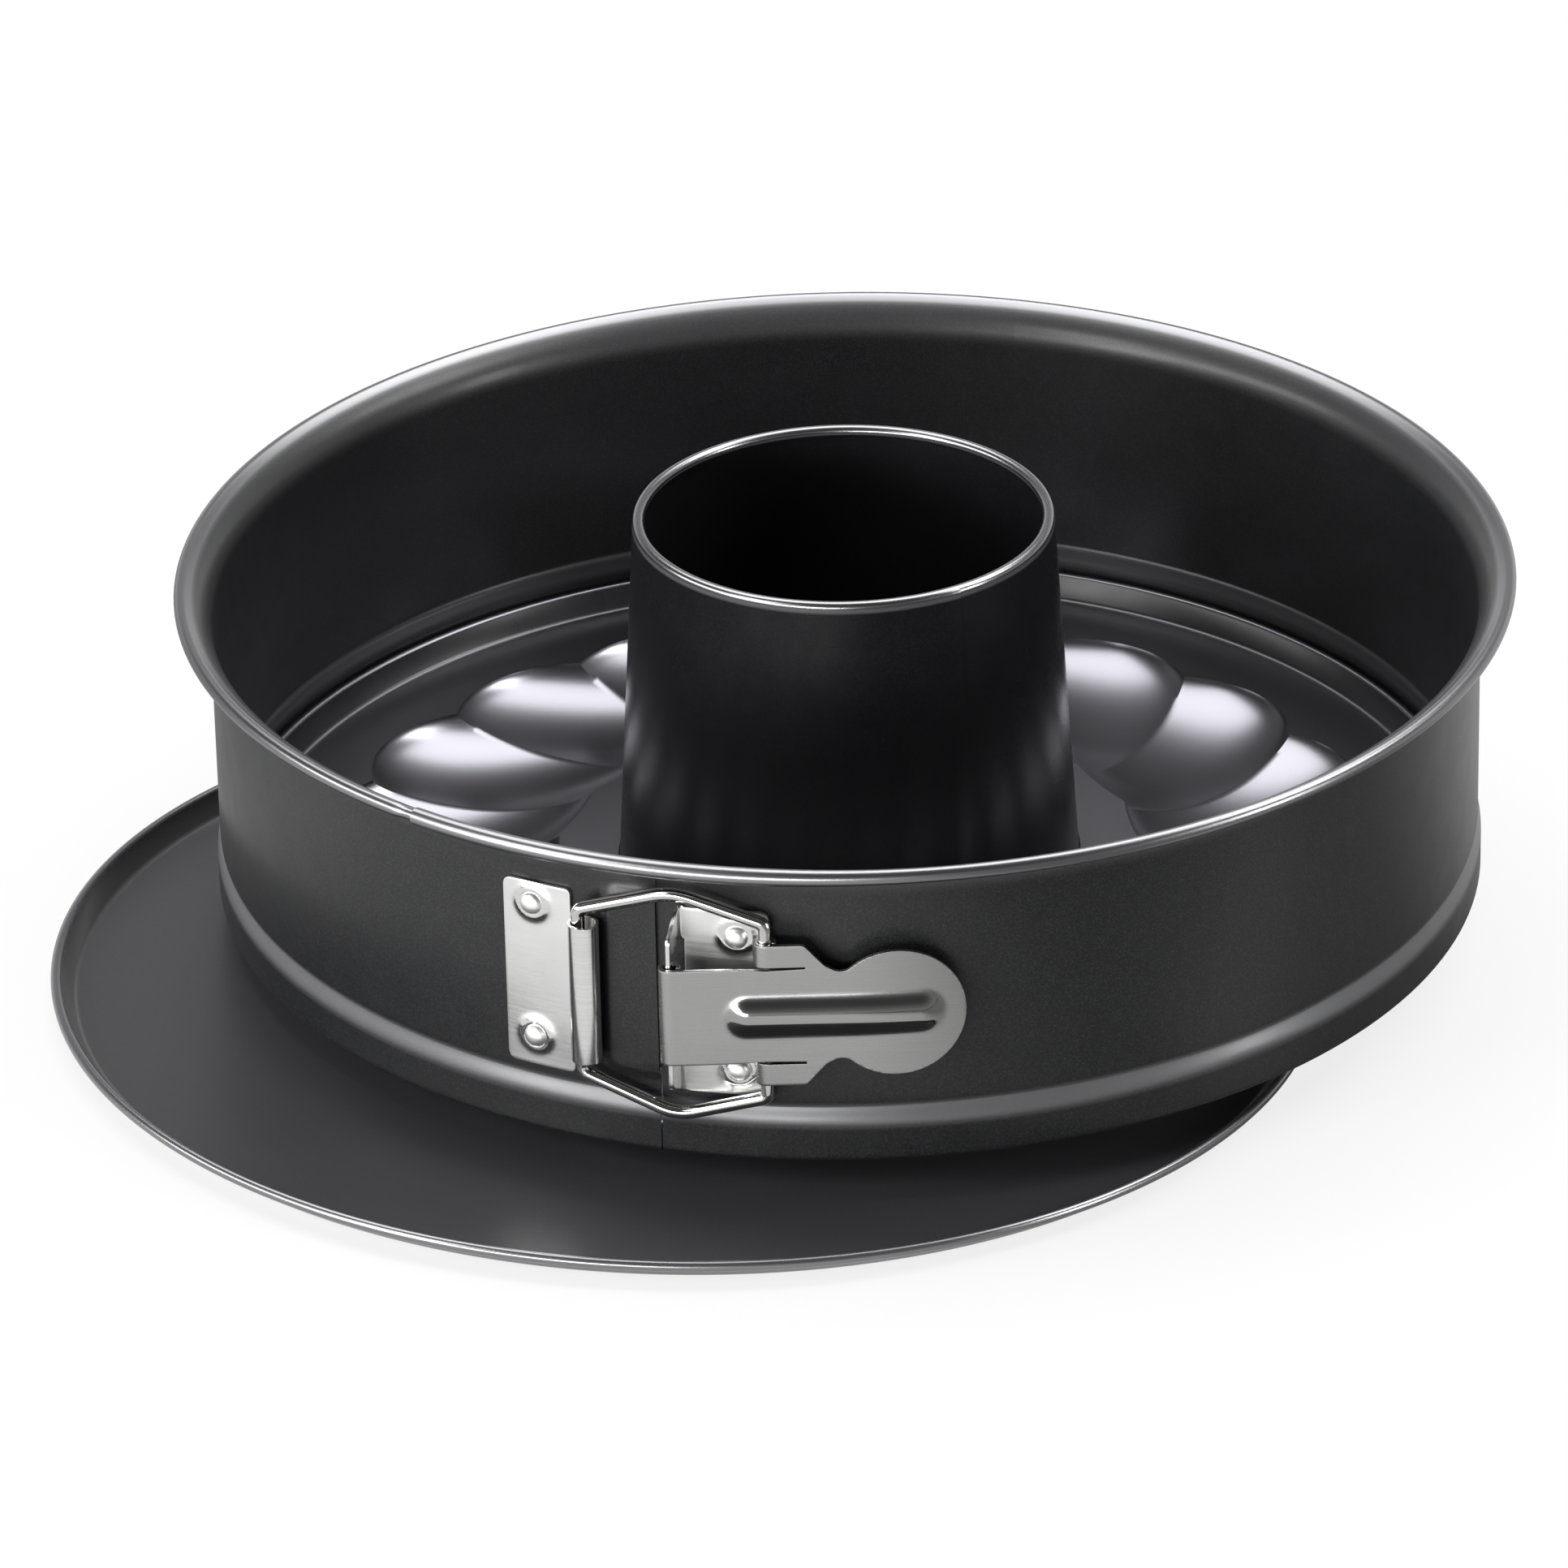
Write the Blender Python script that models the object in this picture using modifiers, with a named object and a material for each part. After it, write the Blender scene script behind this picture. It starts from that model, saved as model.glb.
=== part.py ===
"""Springform tube pan lying on its spare flat base.

A split steel band carries a toggle clasp. It holds a base with a ring of
pressed dimples and a tube in the middle. The whole pan stands on its dimples,
half in the tray of the flat base and half on that base's rim, so it leans.
The origin is the middle of the flat base's underside. Lengths are in metres.
"""
import cmath
import math

import bmesh
import bpy
from mathutils import Matrix, Vector

# General
CLEAR = 0.0003
SHEET = 0.0005
TURN_STEP = 6.0

# Band: a strip with a flared, rolled rim and a groove at the foot
WALL_RADIUS = 0.1309
BAND_HEIGHT = 0.0672
RIM_ROLL = 0.0015
FLARE_REACH = 0.0072
FLARE_HEIGHT = 0.0085
GROOVE_HEIGHT = 0.0118
GROOVE_STEP = 0.0007
GROOVE_SLOPE = 0.0024
FOOT_ROUND = 0.0011
FOOT_LIP = 0.0004

# Band ends, angles in degrees from the front, negative to the left
SEAM_ANGLE = -16.3
BUTT_GAP = 0.0003
JOGGLE_ANGLE = -21.6
JOGGLE_LOW = 0.0160
JOGGLE_HIGH = 0.0585
JOGGLE_RAMP = 0.0014
TONGUE_LENGTH = 0.0088
TONGUE_MARGIN = 0.0025

# Bases
BASE_HEIGHT = 0.0053
BASE_ROLL = 0.0011
TRAY_MARGIN = 0.0049
SPARE_TRIM = 0.0004
FLOOR_RISE = 0.0007

# Dimples pressed down into the tube base, leaning like petals
DIMPLE_COUNT = 19
DIMPLE_COLUMNS = 4
DIMPLE_ROWS = 8
DIMPLE_CENTRE = 0.0860
DIMPLE_LENGTH = 0.0263
DIMPLE_WIDTH = 0.0299
DIMPLE_DEPTH = 0.0083
DIMPLE_SWIRL = 9.4
DIMPLE_FULLNESS = 0.75

# Tube
TUBE_HEIGHT = 0.0792
TUBE_TOP_RADIUS = 0.0434
TUBE_FOOT_RADIUS = 0.0480
TUBE_ROLL = 0.0012
TUBE_FLANGE = 0.0025
TUBE_STEPS = 40

# How the pan lies on the flat base
PAN_X = 0.0336
PAN_Y = 0.0382
LEAN_LEFT = 1.84
LEAN_FRONT = 1.45

# Clasp, hung below the rim so that the bail stays clear of the flare
CLASP_DROP = 0.0321
CLASP_LEVEL = BAND_HEIGHT - CLASP_DROP
PLATE_SHEET = 0.0006
PLATE_HALF = 0.0203
PLATE_WIDTH = 0.0149
PLATE_CORNER = 0.0018
STRIKE_ANGLE = -22.45
STRIKE_BORE = 0.0025
STRIKE_CURL_HALF = 0.0151
STRIKE_NECK = 0.0039
STRIKE_RIVET_ANGLE = -27.8
CURL_WRAP = 290.0
CURL_STEP = 29.0

LEVER_SHEET = 0.0008
LEVER_ANGLE = -14.4
LEVER_STANDOFF = 0.0077
LEVER_PITCH = 16.0
LEVER_BORE = 0.0014
PANEL_HALF = 0.0104
PANEL_WAIST = 0.0100
WING_START = 0.0187
WING_END = 0.0262
WING_HALF = 0.0154
WING_BORE = 0.0015
SLIT_WIDTH = 0.0003
SLIT_END = 0.0265
PANEL_STRAIGHT = 0.0360
PADDLE_CENTRE = 0.0443
PADDLE_RADIUS = 0.0136
NECK_AT = 0.0332
NECK_HALF = 0.0092
RIB_START = 0.0100
RIB_END = 0.0540
RIB_HALF = 0.0050
RIB_HEIGHT = 0.0018

BRACKET_SHEET = 0.0008
BRACKET_BEND = 0.0009
BRACKET_WIDTH = 0.0172
EAR_ROOT = 0.0135
EAR_LIFT = 0.0005
PIVOT_TAB = 0.0010
PIVOT_REACH = 0.0021
BRACKET_RIVET_ANGLE = -9.3

WIRE_RADIUS = 0.0012
BAIL_LEG_HALF = 0.0180
BAIL_PIN_HALF = 0.0192
BAIL_PEAK = 0.0247
BAIL_PEAK_SHARE = 0.52
BAIL_BULGE = 0.0012
BAIL_BEND = 0.0035
BAIL_PIN_REACH = 0.0036
# Where the wire sits in its wide curl when the clasp is shut
WIRE_SHIFT_X = -0.00107
WIRE_SHIFT_Y = 0.00026

RIVET_LEVEL = 0.01475
STRIKE_RIVET_RISE = 0.0011
RIVET_SHANK = 0.0012
RIVET_HEAD = 0.0024
RIVET_DOME = 0.0015
RIVET_TAIL = 0.0019
RIVET_TAIL_HEIGHT = 0.0005
RIVET_STEPS = 12

WALL_MID = WALL_RADIUS - SHEET / 2
BASE_RADIUS = WALL_RADIUS + GROOVE_STEP - SHEET - CLEAR
SPARE_RADIUS = BASE_RADIUS - SPARE_TRIM
FLOOR_MID = FLOOR_RISE + SHEET / 2
HINGE_RADIUS = WALL_RADIUS + FLARE_REACH
STRIKE_CURL = STRIKE_BORE + PLATE_SHEET / 2
STRIKE_PLATE_MID = WALL_RADIUS + CLEAR + PLATE_SHEET / 2
LEVER_CURL = LEVER_BORE + LEVER_SHEET / 2
WING_CURL = WING_BORE + LEVER_SHEET / 2
BRACKET_MID = WALL_RADIUS + CLEAR + BRACKET_SHEET / 2


def clear_scene():
    """Remove what the scene holds."""
    for obj in list(bpy.data.objects):
        bpy.data.objects.remove(obj)


def new_collection(name):
    """Make a collection in the scene."""
    collection = bpy.data.collections.new(name)
    bpy.context.scene.collection.children.link(collection)
    return collection


def finish(name, colour, roughness, metallic):
    """Make a plain material."""
    material = bpy.data.materials.new(name)
    material.use_nodes = True
    shader = material.node_tree.nodes["Principled BSDF"]
    shader.inputs["Base Color"].default_value = (*colour, 1.0)
    shader.inputs["Roughness"].default_value = roughness
    shader.inputs["Metallic"].default_value = metallic
    return material


def dark_finish(name):
    """Dark satin coating of the pressed sheet parts."""
    return finish(name, (0.035, 0.035, 0.038), 0.42, 0.6)


def bright_finish(name):
    """Nickel plating of the clasp parts."""
    return finish(name, (0.72, 0.71, 0.69), 0.22, 1.0)


def front_point(angle, radius):
    """Point in plan at an angle in degrees from the front, as a complex number."""
    turn = math.radians(angle)
    return complex(radius * math.sin(turn), -radius * math.cos(turn))


def front_heading(angle):
    """Direction in plan along the wall, towards the right, at an angle from the front."""
    return cmath.exp(1j * math.radians(angle))


def polar(angle):
    """Angle from the X axis, in degrees, of an angle from the front."""
    return angle - 90.0


def walk(point, heading, bends, distance):
    """Follow a path of straights and bends, and give the point and heading reached."""
    for length, curvature in bends:
        step = min(distance, length)
        turn = cmath.exp(1j * curvature * step)
        chord = step if curvature == 0 else (turn - 1) / (1j * curvature)
        point += heading * chord
        heading *= turn
        distance -= step
    return point, heading


def fillet(corners, steps, closed):
    """Round the corners of a path. Each corner is a point and its radius."""
    count = len(corners)
    path = []
    for index, (point, radius) in enumerate(corners):
        corner = Vector(point)
        if radius == 0 or (not closed and index in (0, count - 1)):
            path.append(corner)
            continue
        before = Vector(corners[index - 1][0]) - corner
        after = Vector(corners[(index + 1) % count][0]) - corner
        reach = radius / math.tan(before.angle(after) / 2)
        reach = min(reach, 0.49 * before.length, 0.49 * after.length)
        start = corner + before.normalized() * reach
        end = corner + after.normalized() * reach
        for step in range(steps + 1):
            share = step / steps
            path.append(start.lerp(corner, share).lerp(corner.lerp(end, share), share))
    return path


def arc(centre, radius, first, last, steps):
    """Points on an arc, angles in degrees."""
    points = []
    for step in range(steps + 1):
        angle = math.radians(first + (last - first) * step / steps)
        x = centre[0] + radius * math.cos(angle)
        points.append((x, centre[1] + radius * math.sin(angle)))
    return points


def place(obj, pivot, collection, material):
    """Hang an object built in the pan's frame on a pivot, and give it its finish."""
    for holder in list(obj.users_collection):
        holder.objects.unlink(obj)
    collection.objects.link(obj)
    obj.parent = pivot
    if pivot is not None and pivot.parent is not None:
        obj.location = obj.location - pivot.location
    if material is not None:
        obj.data.materials.clear()
        obj.data.materials.append(material)
    return obj


def empty(name, location, parent, collection):
    """Make a pivot."""
    obj = bpy.data.objects.new(name, None)
    obj.empty_display_size = 0.01
    obj.location = location
    obj.parent = parent
    collection.objects.link(obj)
    return obj


def mesh_object(name, mesh):
    """Make an object in the scene's own collection."""
    obj = bpy.data.objects.new(name, mesh)
    bpy.context.scene.collection.objects.link(obj)
    return obj


def baked(obj, name):
    """Turn an object with modifiers, or a curve, into a plain mesh object."""
    graph = bpy.context.evaluated_depsgraph_get()
    mesh = bpy.data.meshes.new_from_object(obj.evaluated_get(graph))
    mesh.name = name
    mesh.transform(obj.matrix_world)
    bpy.data.objects.remove(obj)
    work = bmesh.new()
    work.from_mesh(mesh)
    bmesh.ops.remove_doubles(work, verts=work.verts, dist=0.00001)
    work.to_mesh(mesh)
    work.free()
    return mesh_object(name, mesh)


def smooth(mesh, angle):
    """Shade round stretches smooth."""
    mesh.shade_smooth()
    mesh.set_sharp_from_angle(angle=math.radians(angle))


def screw(name, profile, start, sweep, steps):
    """Turn a profile of radius and height points about the vertical axis."""
    mesh = bpy.data.meshes.new(name)
    points = [(radius, 0.0, height) for radius, height in profile]
    edges = [(index, index + 1) for index in range(len(points) - 1)]
    mesh.from_pydata(points, edges, [])
    obj = mesh_object(name, mesh)
    obj.rotation_euler.z = math.radians(start)
    turning = obj.modifiers.new("turn", "SCREW")
    turning.angle = math.radians(sweep)
    turning.steps = steps
    turning.render_steps = steps
    turning.use_merge_vertices = True
    turning.merge_threshold = 0.00001
    bpy.context.view_layer.update()
    return obj


def thicken(obj, thickness):
    """Give an open surface its sheet thickness, half to each side."""
    wall = obj.modifiers.new("sheet", "SOLIDIFY")
    wall.thickness = thickness
    wall.offset = 0.0
    wall.use_even_offset = True
    return obj


def cut(obj, cutter):
    """Cut one piece with another."""
    difference = obj.modifiers.new("cut", "BOOLEAN")
    difference.operation = "DIFFERENCE"
    difference.solver = "EXACT"
    difference.object = cutter


def radial_frame(angle, radius, height):
    """Frame on the wall: Z points away from the pan, X along the wall, Y up."""
    outward = front_point(angle, 1.0)
    along = front_heading(angle)
    place_at = Matrix.Translation((outward.real * radius, outward.imag * radius, height))
    columns = ((along.real, 0, outward.real), (along.imag, 0, outward.imag), (0, 1, 0))
    return place_at @ Matrix(columns).to_4x4()


def rim_profile():
    """Band section: rolled edge, flare, wall, groove and lip, from the top down."""
    roll = RIM_ROLL - SHEET / 2
    centre = (WALL_RADIUS + FLARE_REACH - RIM_ROLL, BAND_HEIGHT - RIM_ROLL)
    points = arc(centre, roll, -140, 125, 7)
    top = Vector(points[-1])
    foot = Vector((WALL_MID, BAND_HEIGHT - FLARE_HEIGHT))
    lift = Vector((0, 1)) * (FLARE_HEIGHT * 0.62)
    entry = Vector((math.sin(math.radians(125)), -math.cos(math.radians(125))))
    for step in range(1, 5):
        share = step / 4
        near = top.lerp(top - entry * 0.0022, share)
        middle = (top - entry * 0.0022).lerp(foot + lift, share)
        far = (foot + lift).lerp(foot, share)
        points.append(tuple(near.lerp(middle, share).lerp(middle.lerp(far, share), share)))
    groove_mid = WALL_MID + GROOVE_STEP
    points.append((WALL_MID, GROOVE_HEIGHT))
    points.append((WALL_MID + GROOVE_STEP * 0.2, GROOVE_HEIGHT - GROOVE_SLOPE * 0.3))
    points.append((WALL_MID + GROOVE_STEP * 0.8, GROOVE_HEIGHT - GROOVE_SLOPE * 0.7))
    points.append((groove_mid, GROOVE_HEIGHT - GROOVE_SLOPE))
    turn = FOOT_ROUND - SHEET / 2
    points += arc((groove_mid - turn, FOOT_ROUND), turn, 0, -90, 2)
    points.append((groove_mid - turn - FOOT_LIP, SHEET / 2))
    return points


def joggle(obj):
    """Press the left end outwards so that the right end's tongue fits under it."""
    ramp_turn = math.degrees(JOGGLE_RAMP / WALL_RADIUS)
    work = bmesh.new()
    work.from_mesh(obj.data)

    def near(face):
        middle = face.calc_center_median()
        angle = math.degrees(math.atan2(middle.x, -middle.y))
        return JOGGLE_ANGLE - 2 * TURN_STEP < angle < SEAM_ANGLE

    def slice_near(point, normal):
        faces = [face for face in work.faces if near(face)]
        edges = {edge for face in faces for edge in face.edges}
        verts = {vert for face in faces for vert in face.verts}
        geometry = list(verts) + list(edges) + faces
        bmesh.ops.bisect_plane(work, geom=geometry, plane_co=point, plane_no=normal)

    for angle in (JOGGLE_ANGLE, JOGGLE_ANGLE + ramp_turn / 2, JOGGLE_ANGLE + ramp_turn):
        along = front_heading(angle)
        slice_near((0, 0, 0), (along.real, along.imag, 0))
    for edge, side in ((JOGGLE_LOW, 1), (JOGGLE_HIGH, -1)):
        for share in (0, 0.5, 1):
            slice_near((0, 0, edge + side * share * JOGGLE_RAMP), (0, 0, 1))
    lift = SHEET + CLEAR + CLEAR / 2
    for vert in work.verts:
        angle = math.degrees(math.atan2(vert.co.x, -vert.co.y))
        if not JOGGLE_ANGLE < angle < SEAM_ANGLE + 1:
            continue
        inner = min(vert.co.z - JOGGLE_LOW, JOGGLE_HIGH - vert.co.z) / JOGGLE_RAMP
        share = min((angle - JOGGLE_ANGLE) / ramp_turn, inner, 1)
        if share <= 0:
            continue
        share = share * share * (3 - 2 * share)
        flat = Vector((vert.co.x, vert.co.y)).normalized() * lift * share
        vert.co.x += flat.x
        vert.co.y += flat.y
    work.to_mesh(obj.data)
    work.free()


def wall_block(name, low, high):
    """Block that trims the right end of the band left of the seam."""
    bpy.ops.mesh.primitive_cube_add(size=1)
    block = bpy.context.object
    block.name = name
    depth = 6 * FLARE_REACH
    width = 4 * TONGUE_LENGTH
    along = front_heading(SEAM_ANGLE) * (-width / 2 + BUTT_GAP / 2)
    middle = front_point(SEAM_ANGLE, WALL_RADIUS) + along
    block.data.transform(Matrix.Diagonal((width, depth, high - low, 1)))
    block.location = (middle.real, middle.imag, (low + high) / 2)
    block.rotation_euler.z = math.radians(SEAM_ANGLE)
    return block


def rivet_drill(name, angle, level):
    """Cylinder that drills the wall for a rivet."""
    bpy.ops.mesh.primitive_cylinder_add(vertices=RIVET_STEPS, radius=RIVET_SHANK + CLEAR, depth=0.006)
    drill = bpy.context.object
    drill.name = name
    drill.data.transform(radial_frame(angle, WALL_MID, level))
    return drill


def band_half(name, start, sweep, pivot, collection):
    """One side of the band, still an open surface."""
    steps = round(sweep / TURN_STEP)
    return baked(screw(name, rim_profile(), start, sweep, steps), name)


def hide_cutter(cutter, pivot, collection):
    """Keep a cutter out of the model."""
    place(cutter, pivot, collection, None)
    cutter.hide_render = True
    cutter.display_type = "WIRE"


def make_band(left_pivot, right_pivot, parts, cutters):
    """The split band: two sides that spring apart about its back."""
    half_gap = math.degrees(BUTT_GAP / 2 / WALL_RADIUS)
    back = polar(SEAM_ANGLE) + 180
    left = band_half("band_left", back + half_gap, 180 - 2 * half_gap, left_pivot, parts)
    joggle(left)
    thicken(left, SHEET)
    tongue = math.degrees(TONGUE_LENGTH / WALL_RADIUS)
    first = polar(SEAM_ANGLE) - tongue
    right = band_half("band_right", first, 180 + tongue - half_gap, right_pivot, parts)
    thicken(right, SHEET)
    top = wall_block("tongue_trim_top", JOGGLE_HIGH - TONGUE_MARGIN, 2 * BAND_HEIGHT)
    low = wall_block("tongue_trim_low", -BAND_HEIGHT, JOGGLE_LOW + TONGUE_MARGIN)
    drills = {left: (STRIKE_RIVET_ANGLE, STRIKE_RIVET_RISE), right: (BRACKET_RIVET_ANGLE, 0.0)}
    for trim in (top, low):
        cut(right, trim)
        hide_cutter(trim, right_pivot, cutters)
    for half, (angle, rise) in drills.items():
        pivot = left_pivot if half is left else right_pivot
        for side in (1, -1):
            level = CLASP_LEVEL + rise + side * RIVET_LEVEL
            drill = rivet_drill(f"{half.name}_drill_{side}", angle, level)
            cut(half, drill)
            hide_cutter(drill, pivot, cutters)
        smooth(half.data, 35)
        place(half, pivot, parts, dark_finish(f"{half.name}_coating"))


def base_profile(edge, inner):
    """Base section: rolled edge, leaning wall and flat floor, from the edge inwards."""
    roll = BASE_ROLL - SHEET / 2
    centre = (edge - BASE_ROLL, BASE_HEIGHT - BASE_ROLL - SHEET / 2)
    points = arc(centre, roll, -110, 165, 5)
    points.append((edge - TRAY_MARGIN + SHEET, SHEET))
    points.append((edge - TRAY_MARGIN - SHEET / 2, 0.0))
    points += [(radius, 0.0) for radius in inner]
    return points


def make_flat_base(collection):
    """The spare base: a plain disc with a low rolled rim."""
    steps = round(360 / TURN_STEP)
    disc = screw("flat_base", base_profile(SPARE_RADIUS, [0.0]), 0, 360, steps)
    disc.location.z = SHEET / 2
    bpy.context.view_layer.update()
    disc = baked(disc, "flat_base")
    thicken(disc, SHEET)
    smooth(disc.data, 35)
    return place(disc, None, collection, dark_finish("flat_base_coating"))


def dimple_edge(offset, side):
    """Radius of a dimple's inner or outer edge, at an angle from its middle line."""
    across = math.sin(offset) ** 2 / DIMPLE_WIDTH ** 2
    along = 1 / DIMPLE_LENGTH ** 2
    a = along + across
    b = -2 * DIMPLE_CENTRE * along
    c = DIMPLE_CENTRE ** 2 * along - 1
    return (-b + side * math.sqrt(b * b - 4 * a * c)) / (2 * a)


def dimple_depth(radius, offset):
    """Depth of the pressed form at a radius and an angle from the dimple's middle line."""
    along = (radius - DIMPLE_CENTRE) / DIMPLE_LENGTH
    across = radius * math.sin(offset) / DIMPLE_WIDTH
    return DIMPLE_DEPTH * max(0.0, 1 - along * along - across * across) ** DIMPLE_FULLNESS


def press_dimples(obj):
    """Move the floor's rows onto the dimples' edges and press them down."""
    pitch = 2 * math.pi / DIMPLE_COUNT
    low = DIMPLE_CENTRE - DIMPLE_LENGTH
    high = DIMPLE_CENTRE + DIMPLE_LENGTH
    for vert in obj.data.vertices:
        radius = math.hypot(vert.co.x, vert.co.y)
        if not low - 0.00001 < radius < high + 0.00001:
            continue
        angle = math.atan2(vert.co.y, vert.co.x)
        offset = (angle + pitch / 2) % pitch - pitch / 2
        share = (radius - low) / (high - low)
        inner = dimple_edge(offset, -1)
        outer = dimple_edge(offset, 1)
        radius = inner + (outer - inner) * share
        angle += math.radians(DIMPLE_SWIRL) * (share - 1)
        vert.co.x = radius * math.cos(angle)
        vert.co.y = radius * math.sin(angle)
        vert.co.z -= dimple_depth(radius, offset)


def make_tube_base(pan, collection):
    """The base of the pan: rolled rim, ring of dimples and a hole for the tube."""
    rows = []
    for row in range(DIMPLE_ROWS + 1):
        turn = math.pi * row / DIMPLE_ROWS
        rows.append(DIMPLE_CENTRE + DIMPLE_LENGTH * math.cos(turn))
    rows.append(TUBE_FOOT_RADIUS + CLEAR)
    steps = DIMPLE_COUNT * DIMPLE_COLUMNS
    plate = screw("tube_base_plate", base_profile(BASE_RADIUS, rows), 0, 360, steps)
    plate.location.z = FLOOR_MID
    bpy.context.view_layer.update()
    plate = baked(plate, "tube_base_plate")
    press_dimples(plate)
    thicken(plate, SHEET)
    smooth(plate.data, 35)
    return place(plate, pan, collection, dark_finish("tube_base_coating"))


def make_tube(pan, collection):
    """The tube: a cone rolled over at the top and flanged under the base."""
    roll = TUBE_ROLL - SHEET / 2
    centre = (TUBE_TOP_RADIUS - TUBE_ROLL, TUBE_HEIGHT - TUBE_ROLL)
    points = arc(centre, roll, 270, 0, 6)
    floor_top = FLOOR_MID + SHEET / 2
    under = FLOOR_MID - SHEET - CLEAR
    points.append((TUBE_FOOT_RADIUS - SHEET / 2, floor_top))
    points.append((TUBE_FOOT_RADIUS - SHEET / 2, under))
    points.append((TUBE_FOOT_RADIUS + TUBE_FLANGE, under))
    tube = baked(screw("tube", points, 0, 360, TUBE_STEPS), "tube")
    thicken(tube, SHEET)
    smooth(tube.data, 35)
    return place(tube, pan, collection, dark_finish("tube_coating"))


def seat_height(turn):
    """Height at which the dimples just clear the tray and the rim of the flat base."""
    tray = SPARE_RADIUS - TRAY_MARGIN
    need = 0.0
    for row in range(40):
        radius = DIMPLE_CENTRE + DIMPLE_LENGTH * (row / 20 - 1)
        under = FLOOR_RISE - dimple_depth(radius, 0.0)
        for step in range(180):
            angle = math.radians(2 * step)
            local = Vector((radius * math.cos(angle), radius * math.sin(angle), under))
            point = turn @ local
            reach = math.hypot(point.x + PAN_X, point.y + PAN_Y)
            if reach > SPARE_RADIUS:
                continue
            rise = min(1.0, max(0.0, (reach - tray) / (BASE_ROLL * 2)))
            support = SHEET + (BASE_HEIGHT - SHEET) * rise
            need = max(need, support + CLEAR - point.z)
    return need


def flat_sheet(name, outlines, thickness, cuts_u, cuts_v):
    """Cut a flat blank from its outlines and score it across where it will bend."""
    curve = bpy.data.curves.new(name, "CURVE")
    curve.dimensions = "2D"
    curve.fill_mode = "BOTH"
    curve.extrude = thickness / 2
    for outline in outlines:
        spline = curve.splines.new("POLY")
        spline.points.add(len(outline) - 1)
        for point, (u, v) in zip(spline.points, outline):
            point.co = (u, v, 0, 1)
        spline.use_cyclic_u = True
    blank = baked(mesh_object(name, curve), name)
    work = bmesh.new()
    work.from_mesh(blank.data)
    bmesh.ops.dissolve_limit(work, angle_limit=0.01, verts=work.verts, edges=work.edges)
    for axis, places in (((1, 0, 0), cuts_u), ((0, 1, 0), cuts_v)):
        for distance in places:
            geometry = list(work.verts) + list(work.edges) + list(work.faces)
            point = Vector(axis) * distance
            bmesh.ops.bisect_plane(work, geom=geometry, plane_co=point, plane_no=axis)
    bmesh.ops.triangulate(work, faces=work.faces)
    work.to_mesh(blank.data)
    work.free()
    return blank


def bend_sheet(blank, lay):
    """Move each point of a blank from its flat place to its bent place."""
    for vert in blank.data.vertices:
        point = lay(vert.co.x, vert.co.y, vert.co.z)
        vert.co = (point[0].real, point[0].imag, CLASP_LEVEL + point[1])
    smooth(blank.data, 30)


def circle(centre, radius, steps):
    """Outline of a round hole."""
    return arc(centre, radius, 0, 360 - 360 / steps, steps - 1)


def corners_of(points_and_radii):
    """Upper half of an outline and its mirror, with the corners rounded."""
    lower = [((u, -v), radius) for (u, v), radius in reversed(points_and_radii)]
    return [tuple(point) for point in fillet(points_and_radii + lower, 3, True)]


def make_strike_plate(pivot, collection):
    """Plate on the left end with a wide curl that the bail's leg sits in."""
    wrap = math.radians(CURL_WRAP) * STRIKE_CURL
    step = math.radians(CURL_STEP) * STRIKE_CURL * 0.75
    edge = -STRIKE_NECK
    left = edge - PLATE_WIDTH
    upper = [((left, PLATE_HALF), PLATE_CORNER), ((edge, PLATE_HALF), PLATE_CORNER * 0.6),
             ((edge, STRIKE_CURL_HALF), PLATE_CORNER * 0.3),
             ((wrap, STRIKE_CURL_HALF), PLATE_CORNER * 0.2)]
    rivet_u = math.radians(STRIKE_RIVET_ANGLE - STRIKE_ANGLE) * STRIKE_PLATE_MID
    levels = [STRIKE_RIVET_RISE + side * RIVET_LEVEL for side in (1, -1)]
    holes = [circle((rivet_u, level), RIVET_SHANK + CLEAR, RIVET_STEPS) for level in levels]
    cuts = [left * share for share in (0.25, 0.5, 0.75)] + [0.0]
    cuts += [step * count for count in range(1, int(wrap / step) + 1)]
    blank = flat_sheet("strike_plate", [corners_of(upper)] + holes, PLATE_SHEET, cuts, [])
    start = front_point(STRIKE_ANGLE, STRIKE_PLATE_MID)
    heading = front_heading(STRIKE_ANGLE)

    def lay(u, v, w):
        if u < 0:
            point, back = walk(start, -heading, [(1.0, -1 / STRIKE_PLATE_MID)], -u)
            return point + 1j * back * w, v
        point, ahead = walk(start, heading, [(1.0, -1 / STRIKE_CURL)], u)
        return point - 1j * ahead * w, v

    bend_sheet(blank, lay)
    return place(blank, pivot, collection, bright_finish("strike_plate_nickel"))


def lever_start():
    """Where the lever's panel leaves its curl, its heading, and its outward direction."""
    heading = front_heading(LEVER_ANGLE + LEVER_PITCH)
    outward = -1j * heading
    pivot = front_point(LEVER_ANGLE, WALL_RADIUS + LEVER_STANDOFF)
    return pivot + outward * LEVER_CURL, heading, outward


def bail_pivot():
    """Middle of the wings' curls, in plan."""
    start, heading, outward = lever_start()
    return start + heading * WING_START - outward * WING_CURL


def strike_pivot():
    """Middle of the strike plate's curl, in plan."""
    return front_point(STRIKE_ANGLE, STRIKE_PLATE_MID + STRIKE_CURL)


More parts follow.
